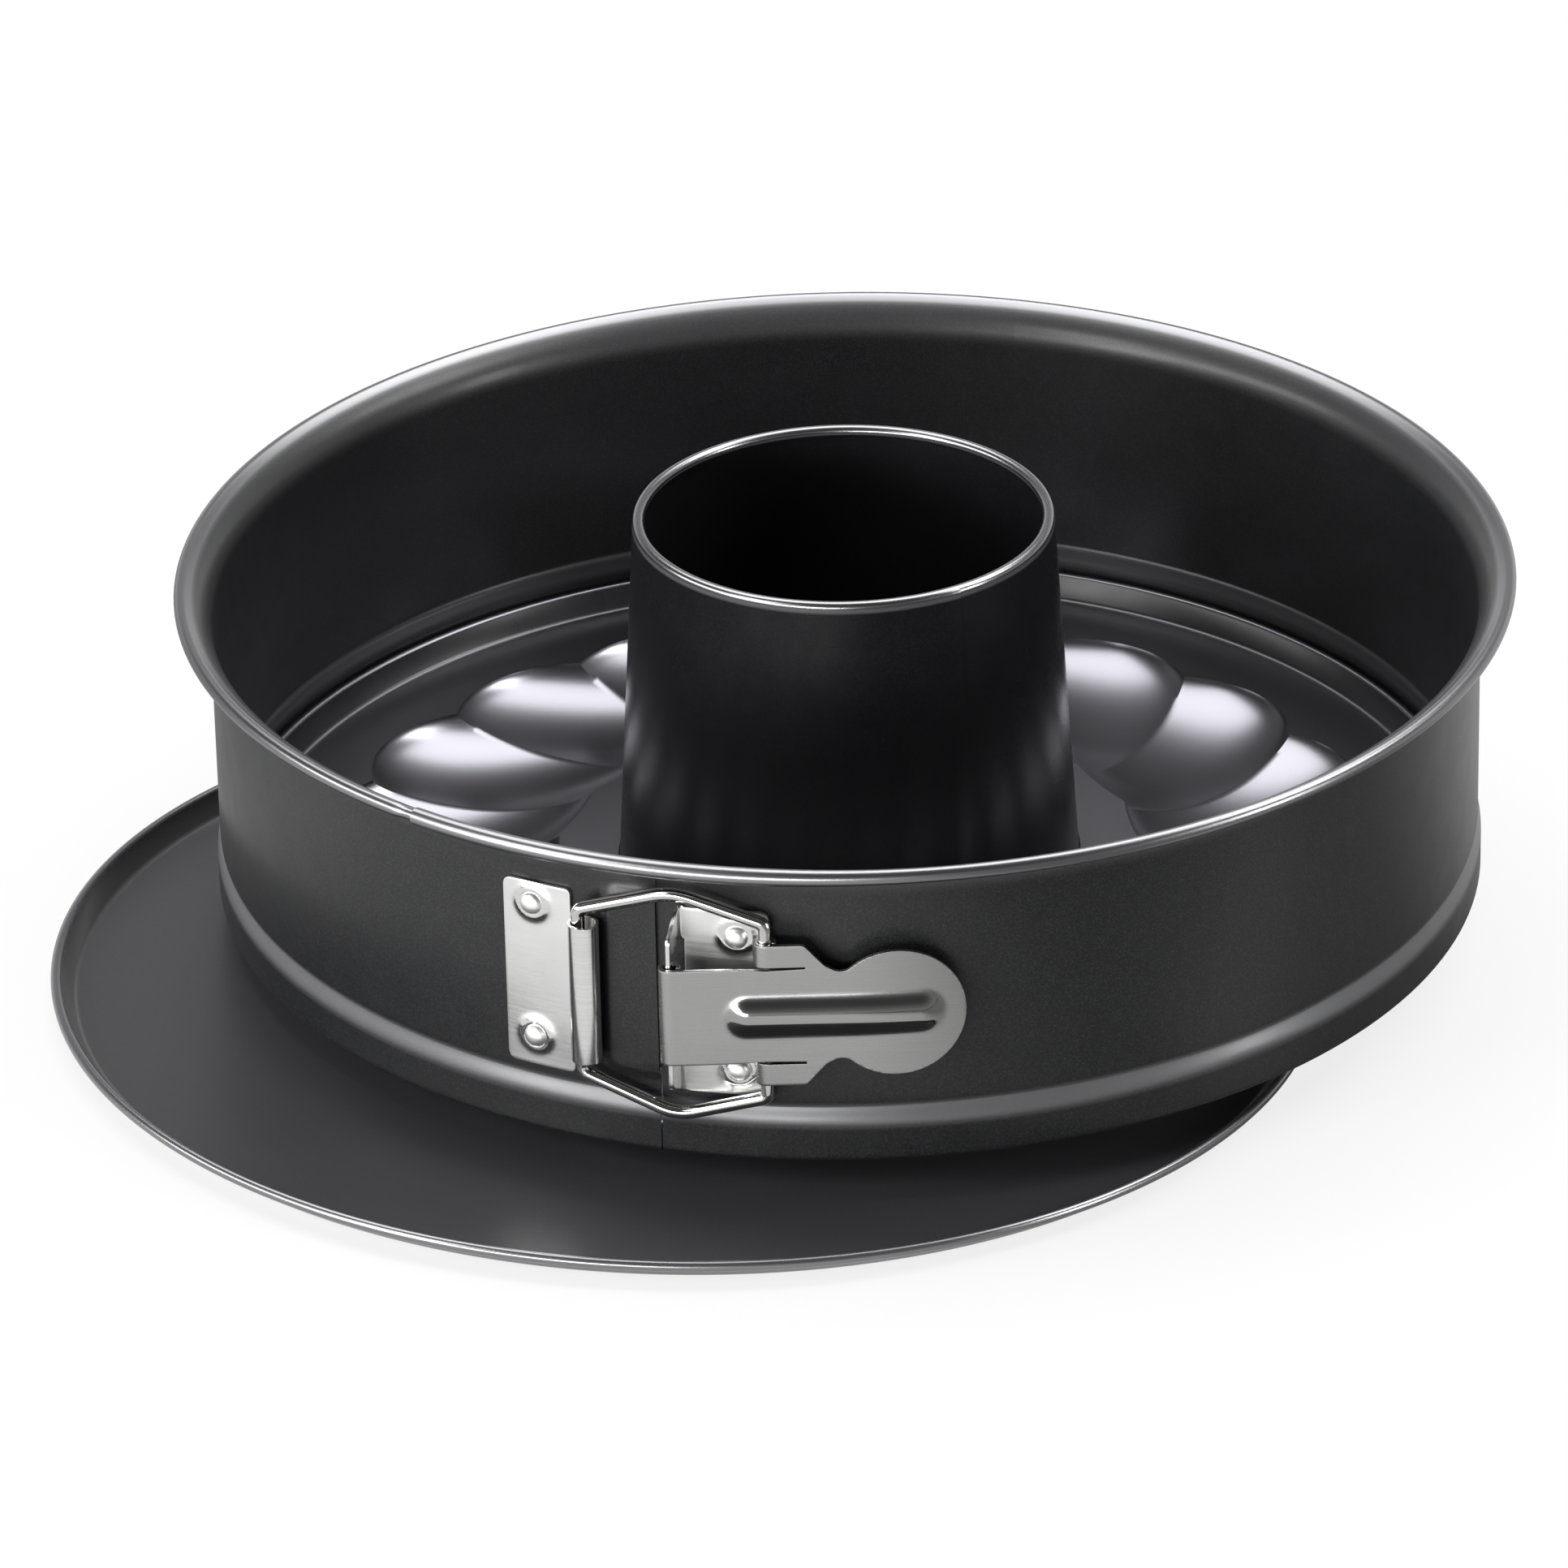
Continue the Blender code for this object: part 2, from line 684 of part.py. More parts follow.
def lever_outline():
    """Flat outline of the lever: panel, wings, neck and round paddle."""
    wrap = math.radians(CURL_WRAP) * LEVER_CURL
    wing_wrap = math.radians(CURL_WRAP) * WING_CURL
    wing_inner = PANEL_HALF + SLIT_WIDTH
    slope = WING_HALF - PANEL_WAIST
    upper = [((-wrap, PANEL_HALF), 0.0003), ((WING_START * 0.6, PANEL_HALF), 0.004),
             ((WING_START, PANEL_WAIST), 0.004), ((SLIT_END, wing_inner - SLIT_WIDTH * 1.5), 0),
             ((SLIT_END, wing_inner), 0), ((WING_START - wing_wrap, wing_inner), 0.0002),
             ((WING_START - wing_wrap, WING_HALF), 0.0003), ((WING_END, WING_HALF), 0.0012),
             ((WING_END + slope * 0.75, PANEL_WAIST + slope * 0.15), 0.0030),
             ((NECK_AT, NECK_HALF), 0.0060)]
    path = [tuple(point) for point in fillet(upper + [((PADDLE_CENTRE, PADDLE_RADIUS), 0)], 4, False)]
    path = path[:-1]
    path += arc((PADDLE_CENTRE, 0), PADDLE_RADIUS, 125, 0, 12)[:-1]
    tip = [(PADDLE_CENTRE + PADDLE_RADIUS, 0.0)]
    return path + tip + [(u, -v) for u, v in reversed(path)]


def rib_height(u, v):
    """Height of the pressed rib that stiffens the lever."""
    nearest = min(max(u, RIB_START + RIB_HALF), RIB_END - RIB_HALF)
    share = math.hypot(u - nearest, v) / RIB_HALF
    if share >= 1:
        return 0.0
    return RIB_HEIGHT * (0.5 + 0.5 * math.cos(math.pi * share)) ** 0.8


def make_lever(pivot, collection):
    """The lever: curled at its end, with two curled wings and a ribbed paddle."""
    step = math.radians(CURL_STEP)
    cuts = [-step * LEVER_CURL * count for count in range(1, 10)] + [0.0]
    cuts += [WING_START - step * WING_CURL * count for count in range(1, 10)] + [WING_START]
    run = PADDLE_CENTRE + PADDLE_RADIUS - WING_START
    cuts += [WING_START + run * count / 15 for count in range(1, 15)]
    cuts_v = [RIB_HALF * count / 3 for count in range(-3, 4)]
    blank = flat_sheet("lever", [lever_outline()], LEVER_SHEET, cuts, cuts_v)
    start, heading, outward = lever_start()
    follow = 1 / (WALL_RADIUS + LEVER_STANDOFF)
    bends = [(PANEL_STRAIGHT, 0), (1.0, follow)]
    wing_edge = PANEL_HALF + SLIT_WIDTH / 2

    def lay(u, v, w):
        on_wing = abs(v) > wing_edge and u < SLIT_END
        if on_wing and u < WING_START:
            centre = bail_pivot() + outward * WING_CURL
            point, back = walk(centre, -heading, [(1.0, -1 / WING_CURL)], WING_START - u)
            return point + 1j * back * w, v
        if u < 0:
            point, back = walk(start, -heading, [(1.0, -1 / LEVER_CURL)], -u)
            return point + 1j * back * w, v
        point, ahead = walk(start, heading, bends, u)
        return point - 1j * ahead * (w + rib_height(u, v)), v

    bend_sheet(blank, lay)
    return place(blank, pivot, collection, bright_finish("lever_nickel"))


def make_bracket(pivot, collection):
    """Bracket on the right end: a plate whose ears carry the lever."""
    bend = math.pi / 2 * BRACKET_BEND
    rise = WALL_RADIUS + LEVER_STANDOFF - BRACKET_MID - BRACKET_BEND
    pin = -(bend + rise)
    tip = pin - PIVOT_TAB
    shoulder = PANEL_HALF + PLATE_CORNER
    tab_end = PANEL_HALF - PIVOT_REACH
    upper = [((BRACKET_WIDTH, PLATE_HALF), PLATE_CORNER),
             ((-bend, PLATE_HALF), 0.0010), ((tip, PLATE_HALF - 0.004), 0.0020),
             ((tip, tab_end), 0.0004), ((pin + PIVOT_TAB, tab_end), 0.0004),
             ((pin + PIVOT_TAB, shoulder), 0.0003), ((-bend - EAR_LIFT, EAR_ROOT), 0.0006),
             ((EAR_LIFT, EAR_ROOT), 0.0003)]
    rivet_u = math.radians(BRACKET_RIVET_ANGLE - LEVER_ANGLE) * BRACKET_MID - BRACKET_BEND
    holes = [circle((rivet_u, side * RIVET_LEVEL), RIVET_SHANK + CLEAR, RIVET_STEPS) for side in (1, -1)]
    cuts = [-bend, -bend * 2 / 3, -bend / 3, 0.0, BRACKET_WIDTH * 0.25, BRACKET_WIDTH * 0.75]
    blank = flat_sheet("lever_bracket", [corners_of(upper)] + holes, BRACKET_SHEET, cuts, [])
    first = LEVER_ANGLE + math.degrees(BRACKET_BEND / BRACKET_MID)
    start = front_point(first, BRACKET_MID)
    heading = front_heading(first)

    def lay(u, v, w):
        if u < 0:
            bends = [(bend, 1 / BRACKET_BEND), (1.0, 0)]
            point, back = walk(start, -heading, bends, -u)
            return point + 1j * back * w, v
        point, ahead = walk(start, heading, [(1.0, 1 / BRACKET_MID)], u)
        return point - 1j * ahead * w, v

    bend_sheet(blank, lay)
    return place(blank, pivot, collection, bright_finish("bracket_nickel"))


def make_bail(pivot, collection):
    """Wire bail from the strike plate's curl to the wings of the lever."""
    leg = strike_pivot() + complex(WIRE_SHIFT_X, WIRE_SHIFT_Y)
    pin = bail_pivot()
    outward = -1j * (pin - leg) / abs(pin - leg)
    peak = leg + (pin - leg) * BAIL_PEAK_SHARE + outward * BAIL_BULGE
    pin_end = WING_HALF - BAIL_PIN_REACH
    upper = [((pin.real, pin.imag, pin_end), 0), ((pin.real, pin.imag, BAIL_PIN_HALF), BAIL_BEND * 0.5),
             ((peak.real, peak.imag, BAIL_PEAK), 2 * BAIL_BEND),
             ((leg.real, leg.imag, BAIL_LEG_HALF), BAIL_BEND * 0.6)]
    lower = [((x, y, -z), radius) for (x, y, z), radius in reversed(upper)]
    path = fillet(upper + lower, 4, False)
    curve = bpy.data.curves.new("bail", "CURVE")
    curve.dimensions = "3D"
    curve.bevel_depth = WIRE_RADIUS
    curve.bevel_resolution = 2
    curve.use_fill_caps = True
    spline = curve.splines.new("POLY")
    spline.points.add(len(path) - 1)
    for point, place_at in zip(spline.points, path):
        point.co = (place_at.x, place_at.y, place_at.z + CLASP_LEVEL, 1)
    wire = baked(mesh_object("bail", curve), "bail")
    smooth(wire.data, 50)
    return place(wire, pivot, collection, bright_finish("bail_nickel"))


def make_rivet(name, angle, level, plate_sheet, pivot, collection):
    """Domed rivet through a plate and the wall, with its tail inside the pan."""
    seat = 2 * CLEAR + plate_sheet
    inner = -SHEET - CLEAR
    points = [(0.0, seat + RIVET_DOME)]
    for share in (0.35, 0.7, 0.93):
        points.append((RIVET_HEAD * share, seat + RIVET_DOME * math.sqrt(1 - share * share)))
    points += [(RIVET_HEAD, seat + RIVET_DOME * 0.15), (RIVET_HEAD, seat), (RIVET_SHANK, seat)]
    points += [(RIVET_SHANK, inner), (RIVET_TAIL, inner), (RIVET_TAIL, inner - RIVET_TAIL_HEIGHT)]
    points.append((0.0, inner - RIVET_TAIL_HEIGHT))
    rivet = baked(screw(name, points, 0, 360, RIVET_STEPS), name)
    rivet.data.transform(radial_frame(angle, WALL_RADIUS, level))
    smooth(rivet.data, 40)
    return place(rivet, pivot, collection, bright_finish(f"{name}_nickel"))


def make_clasp(left, right, lever, bail, collection):
    """All the pieces of the toggle clasp."""
    make_strike_plate(left, collection)
    make_bracket(right, collection)
    for word, side in (("upper", 1), ("lower", -1)):
        level = CLASP_LEVEL + side * RIVET_LEVEL
        name = f"strike_rivet_{word}"
        raised = level + STRIKE_RIVET_RISE
        make_rivet(name, STRIKE_RIVET_ANGLE, raised, PLATE_SHEET, left, collection)
        name = f"bracket_rivet_{word}"
        make_rivet(name, BRACKET_RIVET_ANGLE, level, BRACKET_SHEET, right, collection)
    make_lever(lever, collection)
    make_bail(bail, collection)


def main():
    """Build the whole object."""
    clear_scene()
    parts = new_collection("springform_tube_pan")
    cutters = new_collection("cutters")
    make_flat_base(parts)
    turn = Matrix.Rotation(math.radians(-LEAN_LEFT), 3, "Y")
    turn = turn @ Matrix.Rotation(math.radians(LEAN_FRONT), 3, "X")
    pan = empty("pan_seat", (PAN_X, PAN_Y, seat_height(turn)), None, parts)
    pan.rotation_euler = turn.to_euler()
    back = front_point(SEAM_ANGLE + 180, HINGE_RADIUS)
    left = empty("left_spring", (back.real, back.imag, 0), pan, parts)
    right = empty("right_spring", (back.real, back.imag, 0), pan, parts)
    hinge = front_point(LEVER_ANGLE, WALL_RADIUS + LEVER_STANDOFF)
    lever = empty("lever_pivot", (hinge.real, hinge.imag, CLASP_LEVEL), pan, parts)
    joint = bail_pivot()
    bail = empty("bail_pivot", (joint.real, joint.imag, CLASP_LEVEL), pan, parts)
    make_tube_base(pan, parts)
    make_tube(pan, parts)
    make_band(left, right, parts, cutters)
    make_clasp(left, right, lever, bail, parts)


main()
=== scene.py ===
"""Looks of a springform tube pan that leans on its spare flat base.

Each sub-assembly is a class with its sizes as fields. Lengths are in metres.
Round pieces are laid out in the pan's own frame, where the pan stands level,
and are then moved to where the pan leans on the spare base. Angles round the
wall are in degrees from the front, negative to the left.
"""
import cmath
import logging
import math
from dataclasses import dataclass, field
from enum import Enum
from typing import Callable, Sequence

import bmesh
import bpy
from mathutils import Matrix, Vector


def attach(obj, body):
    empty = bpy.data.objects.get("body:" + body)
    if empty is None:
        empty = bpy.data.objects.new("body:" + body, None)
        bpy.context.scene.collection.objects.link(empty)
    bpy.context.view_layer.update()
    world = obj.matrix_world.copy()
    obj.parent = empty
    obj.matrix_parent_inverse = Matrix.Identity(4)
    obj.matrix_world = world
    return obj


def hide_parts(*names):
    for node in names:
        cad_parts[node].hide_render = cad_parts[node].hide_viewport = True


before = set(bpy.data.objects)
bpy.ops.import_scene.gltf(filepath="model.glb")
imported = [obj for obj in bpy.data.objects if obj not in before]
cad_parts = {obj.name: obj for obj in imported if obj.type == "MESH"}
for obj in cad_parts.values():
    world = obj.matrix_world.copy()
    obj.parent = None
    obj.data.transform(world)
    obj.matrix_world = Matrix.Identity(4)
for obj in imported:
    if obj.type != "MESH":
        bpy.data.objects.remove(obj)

LOG = logging.getLogger("springform")
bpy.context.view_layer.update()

Plane = tuple[float, float]
Lay = Callable[[float, float], tuple[complex, float]]

# Driving sizes
SHEET = 0.0005
CLEAR = 0.0003
WALL_RADIUS = 0.1309
GROOVE_STEP = 0.0007
FLOOR_MID = 0.00095
CLASP_LEVEL = 0.0351
BASE_RADIUS = WALL_RADIUS + GROOVE_STEP - SHEET - CLEAR

# Range of the noise textures that the finishes use
NOISE_LOW = 0.3
NOISE_HIGH = 0.7


class Slot(Enum):
    """Material slots of the record."""

    BAND = "band_coating"
    PAN = "pan_coating"
    SPARE = "spare_base_coating"
    NICKEL = "nickel"


# Plan geometry of the round wall


def front_point(angle: float, radius: float) -> complex:
    """Give the plan point at an angle from the front, as a complex number."""
    turn = math.radians(angle)
    return complex(radius * math.sin(turn), -radius * math.cos(turn))


def front_heading(angle: float) -> complex:
    """Give the plan direction along the wall, towards the right."""
    return cmath.exp(1j * math.radians(angle))


def walk(point: complex, heading: complex, bends: Sequence[Plane],
         distance: float) -> tuple[complex, complex]:
    """Follow a path of straights and bends.

    Args:
        point: Where the path starts.
        heading: Direction at the start, of length 1.
        bends: Length and curvature of each stretch.
        distance: How far to go along it.

    Returns:
        The point and the heading reached.
    """
    for length, curvature in bends:
        step = min(distance, length)
        turn = cmath.exp(1j * curvature * step)
        chord = step if curvature == 0 else (turn - 1) / (1j * curvature)
        point += heading * chord
        heading *= turn
        distance -= step
    return point, heading


def arc(centre: Plane, radius: float, first: float, last: float, steps: int) -> list[Plane]:
    """Give points on an arc between two angles in degrees."""
    points = []
    for step in range(steps + 1):
        angle = math.radians(first + (last - first) * step / steps)
        points.append((centre[0] + radius * math.cos(angle), centre[1] + radius * math.sin(angle)))
    return points


def fillet(corners: Sequence[tuple[tuple, float]], steps: int, closed: bool) -> list[Vector]:
    """Round the corners of a path.

    Args:
        corners: Each corner's point and its radius.
        steps: Steps in each rounded corner.
        closed: Whether the path closes on itself.

    Returns:
        The points of the rounded path.
    """
    nearly_half = 0.49
    count = len(corners)
    path = []
    for index, (point, radius) in enumerate(corners):
        corner = Vector(point)
        if radius == 0 or (not closed and index in (0, count - 1)):
            path.append(corner)
            continue
        before = Vector(corners[index - 1][0]) - corner
        after = Vector(corners[(index + 1) % count][0]) - corner
        reach = radius / math.tan(before.angle(after) / 2)
        reach = min(reach, nearly_half * before.length, nearly_half * after.length)
        start = corner + before.normalized() * reach
        end = corner + after.normalized() * reach
        for step in range(steps + 1):
            share = step / steps
            path.append(start.lerp(corner, share).lerp(corner.lerp(end, share), share))
    return path


def mirrored(upper: Sequence[tuple[Plane, float]]) -> list[Plane]:
    """Give a closed, rounded outline from the corners of its upper half."""
    lower = [((u, -v), radius) for (u, v), radius in reversed(upper)]
    return [tuple(point) for point in fillet([*upper, *lower], 6, True)]


def soft_step(share: float) -> float:
    """Ease from 0 to 1."""
    share = min(max(share, 0.0), 1.0)
    return share * share * (3 - 2 * share)


def spread(first: float, last: float, step: float) -> list[float]:
    """Give evenly spaced values from first to last, no further apart than step."""
    count = max(1, math.ceil(abs(last - first) / step - 1e-6))
    return [first + (last - first) * index / count for index in range(count + 1)]


@dataclass(frozen=True)
class PanSeat:
    """How the pan lies on the spare base."""

    x: float = 0.0336
    y: float = 0.0382
    z: float = 0.011954
    lean_left: float = 1.84
    lean_front: float = 1.45

    def matrix(self) -> Matrix:
        """Give the move from the pan's level frame to its place."""
        turn = Matrix.Rotation(math.radians(-self.lean_left), 4, "Y")
        turn = turn @ Matrix.Rotation(math.radians(self.lean_front), 4, "X")
        return Matrix.Translation((self.x, self.y, self.z)) @ turn


SEAT = PanSeat()


# Meshes


def linked(name: str, data: bpy.types.ID) -> bpy.types.Object:
    """Make an object of a mesh, a lamp or a camera and put it in the scene."""
    obj = bpy.data.objects.new(name, data)
    bpy.context.scene.collection.objects.link(obj)
    return obj


def mesh_object(name: str, points: Sequence, faces: Sequence, edges: Sequence = ()) -> bpy.types.Object:
    """Make an object from points and faces, or from points and loose edges."""
    mesh = bpy.data.meshes.new(name)
    mesh.from_pydata([tuple(point) for point in points], edges, faces)
    mesh.update()
    return linked(name, mesh)


def bake(obj: bpy.types.Object) -> None:
    """Replace an object's mesh by what its modifiers make of it."""
    bpy.context.view_layer.update()
    graph = bpy.context.evaluated_depsgraph_get()
    mesh = bpy.data.meshes.new_from_object(obj.evaluated_get(graph))
    mesh.name = obj.name
    obj.modifiers.clear()
    obj.data = mesh


def face_outwards(obj: bpy.types.Object, merge: float = 0.000002) -> None:
    """Merge doubles and turn all faces outwards."""
    work = bmesh.new()
    work.from_mesh(obj.data)
    bmesh.ops.remove_doubles(work, verts=work.verts, dist=merge)
    bmesh.ops.recalc_face_normals(work, faces=work.faces)
    work.to_mesh(obj.data)
    work.free()


def shade(obj: bpy.types.Object, angle: float) -> None:
    """Shade round stretches smooth and keep edges above an angle sharp."""
    obj.data.shade_smooth()
    obj.data.set_sharp_from_angle(angle=math.radians(angle))


def sheet_section(line: Sequence[Plane], thickness: float) -> list[Plane]:
    """Give the closed section of a sheet whose middle follows a line, with rounded ends."""
    sharpest_miter = 0.5
    end_round = 0.6
    points = [Vector(point) for point in line]
    sides: tuple[list[Plane], list[Plane]] = ([], [])
    half = thickness / 2
    for index, point in enumerate(points):
        before = (point - points[index - 1]).normalized() if index else None
        after = (points[index + 1] - point).normalized() if index < len(points) - 1 else None
        ahead = ((before or after) + (after or before)).normalized()
        across = Vector((-ahead.y, ahead.x))
        inner = before is not None and after is not None
        miter = 1 / max(sharpest_miter, ahead.dot(before)) if inner else 1.0
        sides[0].append(tuple(point + across * half * miter))
        sides[1].append(tuple(point - across * half * miter))
    first = (points[0] - points[1]).normalized() * half * end_round
    last = (points[-1] - points[-2]).normalized() * half * end_round
    return sides[0] + [tuple(points[-1] + last)] + sides[1][::-1] + [tuple(points[0] + first)]


def turned(name: str, loop: Sequence[Plane], angles: Sequence[float],
           shift: Callable[[float, float, float], tuple[float, float]] | None = None) -> bpy.types.Object:
    """Turn a closed section of radius and height about the pan's axis.

    Args:
        name: Name of the object.
        loop: The closed section.
        angles: Angles from the front; a whole turn closes on itself.
        shift: Gives a new radius and height for an angle, radius and height.

    Returns:
        The object, in the frame in which the section stands.
    """
    whole = abs(angles[-1] - angles[0] - 360) < 1e-6
    stations = list(angles[:-1]) if whole else list(angles)
    size = len(loop)
    points = []
    for angle in stations:
        for radius, height in loop:
            if shift is not None:
                radius, height = shift(angle, radius, height)
            place = front_point(angle, radius)
            points.append((place.real, place.imag, height))
    faces = []
    for row in range(len(stations) if whole else len(stations) - 1):
        near = row * size
        far = ((row + 1) % len(stations)) * size
        for index in range(size):
            after = (index + 1) % size
            faces.append((near + index, near + after, far + after, far + index))
    if not whole:
        faces.append(tuple(range(size)))
        faces.append(tuple(reversed(range(len(points) - size, len(points)))))
    obj = mesh_object(name, points, faces)
    face_outwards(obj)
    return obj


def joined(name: str, pieces: Sequence[bpy.types.Object]) -> bpy.types.Object:
    """Put several meshes into one object."""
    work = bmesh.new()
    for piece in pieces:
        work.from_mesh(piece.data)
    mesh = bpy.data.meshes.new(name)
    work.to_mesh(mesh)
    work.free()
    for piece in pieces:
        bpy.data.objects.remove(piece)
    return linked(name, mesh)


def blank_grid(name: str, outline: Sequence[Plane], cuts_u: Sequence[float],
               cuts_v: Sequence[float]) -> bpy.types.Object:
    """Cut a flat blank from its outline and score it between the first and last cuts."""
    work = bmesh.new()
    verts = [work.verts.new((u, v, 0)) for u, v in outline]
    work.faces.new(verts)
    for axis, places in (((1, 0, 0), cuts_u), ((0, 1, 0), cuts_v)):
        for place in sorted(set(places))[1:-1]:
            geometry = list(work.verts) + list(work.edges) + list(work.faces)
            bmesh.ops.bisect_plane(work, geom=geometry, plane_co=Vector(axis) * place, plane_no=axis)
    mesh = bpy.data.meshes.new(name)
    work.to_mesh(mesh)
    work.free()
    return linked(name, mesh)


def bend_blank(obj: bpy.types.Object, lay: Lay, thickness: float, edge: float,
               polish: Callable[[float, float], float]) -> None:
    """Bend a blank to its place in the pan's frame, with its thickness and broken edges.

    Args:
        obj: The flat blank.
        lay: Gives the plan point and the height of a flat point.
        thickness: Sheet thickness.
        edge: Width of the broken edges.
        polish: Share of polish at a flat point, kept as an attribute.
    """
    broken_above, sharp_above = 55, 40
    share = obj.data.attributes.new("polish", "FLOAT", "POINT")
    values = []
    for vert in obj.data.vertices:
        u, v = vert.co.x, vert.co.y
        values.append(polish(u, v))
        place, height = lay(u, v)
        vert.co = (place.real, place.imag, CLASP_LEVEL + height)
    share.data.foreach_set("value", values)
    obj.data.update()
    wall = obj.modifiers.new("sheet", "SOLIDIFY")
    wall.thickness = thickness
    wall.offset = 0.0
    wall.use_even_offset = True
    broken = obj.modifiers.new("edges", "BEVEL")
    broken.width = edge
    broken.segments = 2
    broken.limit_method = "ANGLE"
    broken.angle_limit = math.radians(broken_above)
    bake(obj)
    shade(obj, sharp_above)


# Node trees


def run_tree(obj: bpy.types.Object, tree: bpy.types.NodeTree, values: dict[str, object]) -> None:
    """Run a tree on an object, with values for its named inputs, and keep what it makes."""
    nodes = obj.modifiers.new("nodes", "NODES")
    nodes.node_group = tree
    for item in tree.interface.items_tree:
        if item.name in values:
            nodes[item.identifier] = values[item.name]
    bake(obj)


class Bench:
    """Adds and links the nodes of one tree."""

    def __init__(self, tree: bpy.types.NodeTree) -> None:
        """Keep the tree."""
        self.tree = tree

    def add(self, kind: str, settings: dict | None = None, **inputs: object) -> bpy.types.Node:
        """Add a node.

        Args:
            kind: The node's type.
            settings: Its properties.
            **inputs: Values or sockets of its inputs, with spaces written as underscores.

        Returns:
            The new node.
        """
        node = self.tree.nodes.new(kind)
        for key, value in (settings or {}).items():
            setattr(node, key, value)
        for key, value in inputs.items():
            label = int(key[1:]) if key[1:].isdigit() else key.replace("_", " ")
            self.feed(node.inputs[label], value)
        return node

    def feed(self, socket: bpy.types.NodeSocket, value: object) -> None:
        """Link another node's socket to an input, or set the input to a value."""
        if isinstance(value, bpy.types.NodeSocket):
            self.tree.links.new(value, socket)
        else:
            socket.default_value = value

    def feed_all(self, node: bpy.types.Node, given: dict[str, object]) -> None:
        """Feed several named inputs of a node."""
        for label, value in given.items():
            self.feed(node.inputs[label], value)

    def ramp(self, value: bpy.types.NodeSocket, low: float, high: float,
             dark: float, pale: float) -> bpy.types.NodeSocket:
        """Map a value from one range to another, with its ends held."""
        node = self.add("ShaderNodeMapRange", None, Value=value)
        self.feed_all(node, {"From Min": low, "From Max": high, "To Min": dark, "To Max": pale})
        return node.outputs[0]

    def blend(self, share: bpy.types.NodeSocket | float, a: object, b: object) -> bpy.types.NodeSocket:
        """Mix two colours."""
        return self.add("ShaderNodeMix", {"data_type": "RGBA"}, _0=share, _6=a, _7=b).outputs[2]

    def noise(self, place: bpy.types.NodeSocket, scale: float, detail: float) -> bpy.types.NodeSocket:
        """Give a noise value at a place."""
        return self.add("ShaderNodeTexNoise", None, Vector=place, Scale=scale, Detail=detail).outputs["Fac"]

    def math(self, operation: str, a: object, b: object) -> bpy.types.NodeSocket:
        """Calculate with two values."""
        return self.add("ShaderNodeMath", {"operation": operation}, _0=a, _1=b).outputs[0]

    def towards(self, value: object, end: float, share: object) -> bpy.types.NodeSocket:
        """Move a value towards an end by a share of the way."""
        gap = self.math("SUBTRACT", value, end)
        return self.math("SUBTRACT", value, self.math("MULTIPLY", gap, share))


def new_tree(name: str, inputs: dict[str, str],
             output: str) -> tuple[bpy.types.NodeTree, Bench, bpy.types.bpy_prop_collection]:
    """Start a node tree that makes geometry.

    Args:
        name: Name of the tree.
        inputs: The kind of each named input.
        output: Name of what it makes.

    Returns:
        The tree, its bench and the sockets of its inputs.
    """
    tree = bpy.data.node_groups.new(name, "GeometryNodeTree")
    for title, kind in inputs.items():
        tree.interface.new_socket(title, in_out="INPUT", socket_type="NodeSocket" + kind)
    tree.interface.new_socket(output, in_out="OUTPUT", socket_type="NodeSocketGeometry")
    bench = Bench(tree)
    return tree, bench, bench.add("NodeGroupInput").outputs


def end_tree(bench: Bench, geometry: bpy.types.Node, finish: bpy.types.NodeSocket) -> None:
    """End a tree: give its geometry the finish and hand it out."""
    coated = bench.add("GeometryNodeSetMaterial", None, Geometry=geometry.outputs[0], Material=finish)
    out = bench.add("NodeGroupOutput")
    bench.feed(out.inputs[0], coated.outputs[0])


def new_material(name: str) -> tuple[bpy.types.Material, Bench, bpy.types.Node]:
    """Make a material and give it with its bench and its shader."""
    material = bpy.data.materials.new(name)
    material.use_nodes = True
    bench = Bench(material.node_tree)
    return material, bench, material.node_tree.nodes["Principled BSDF"]


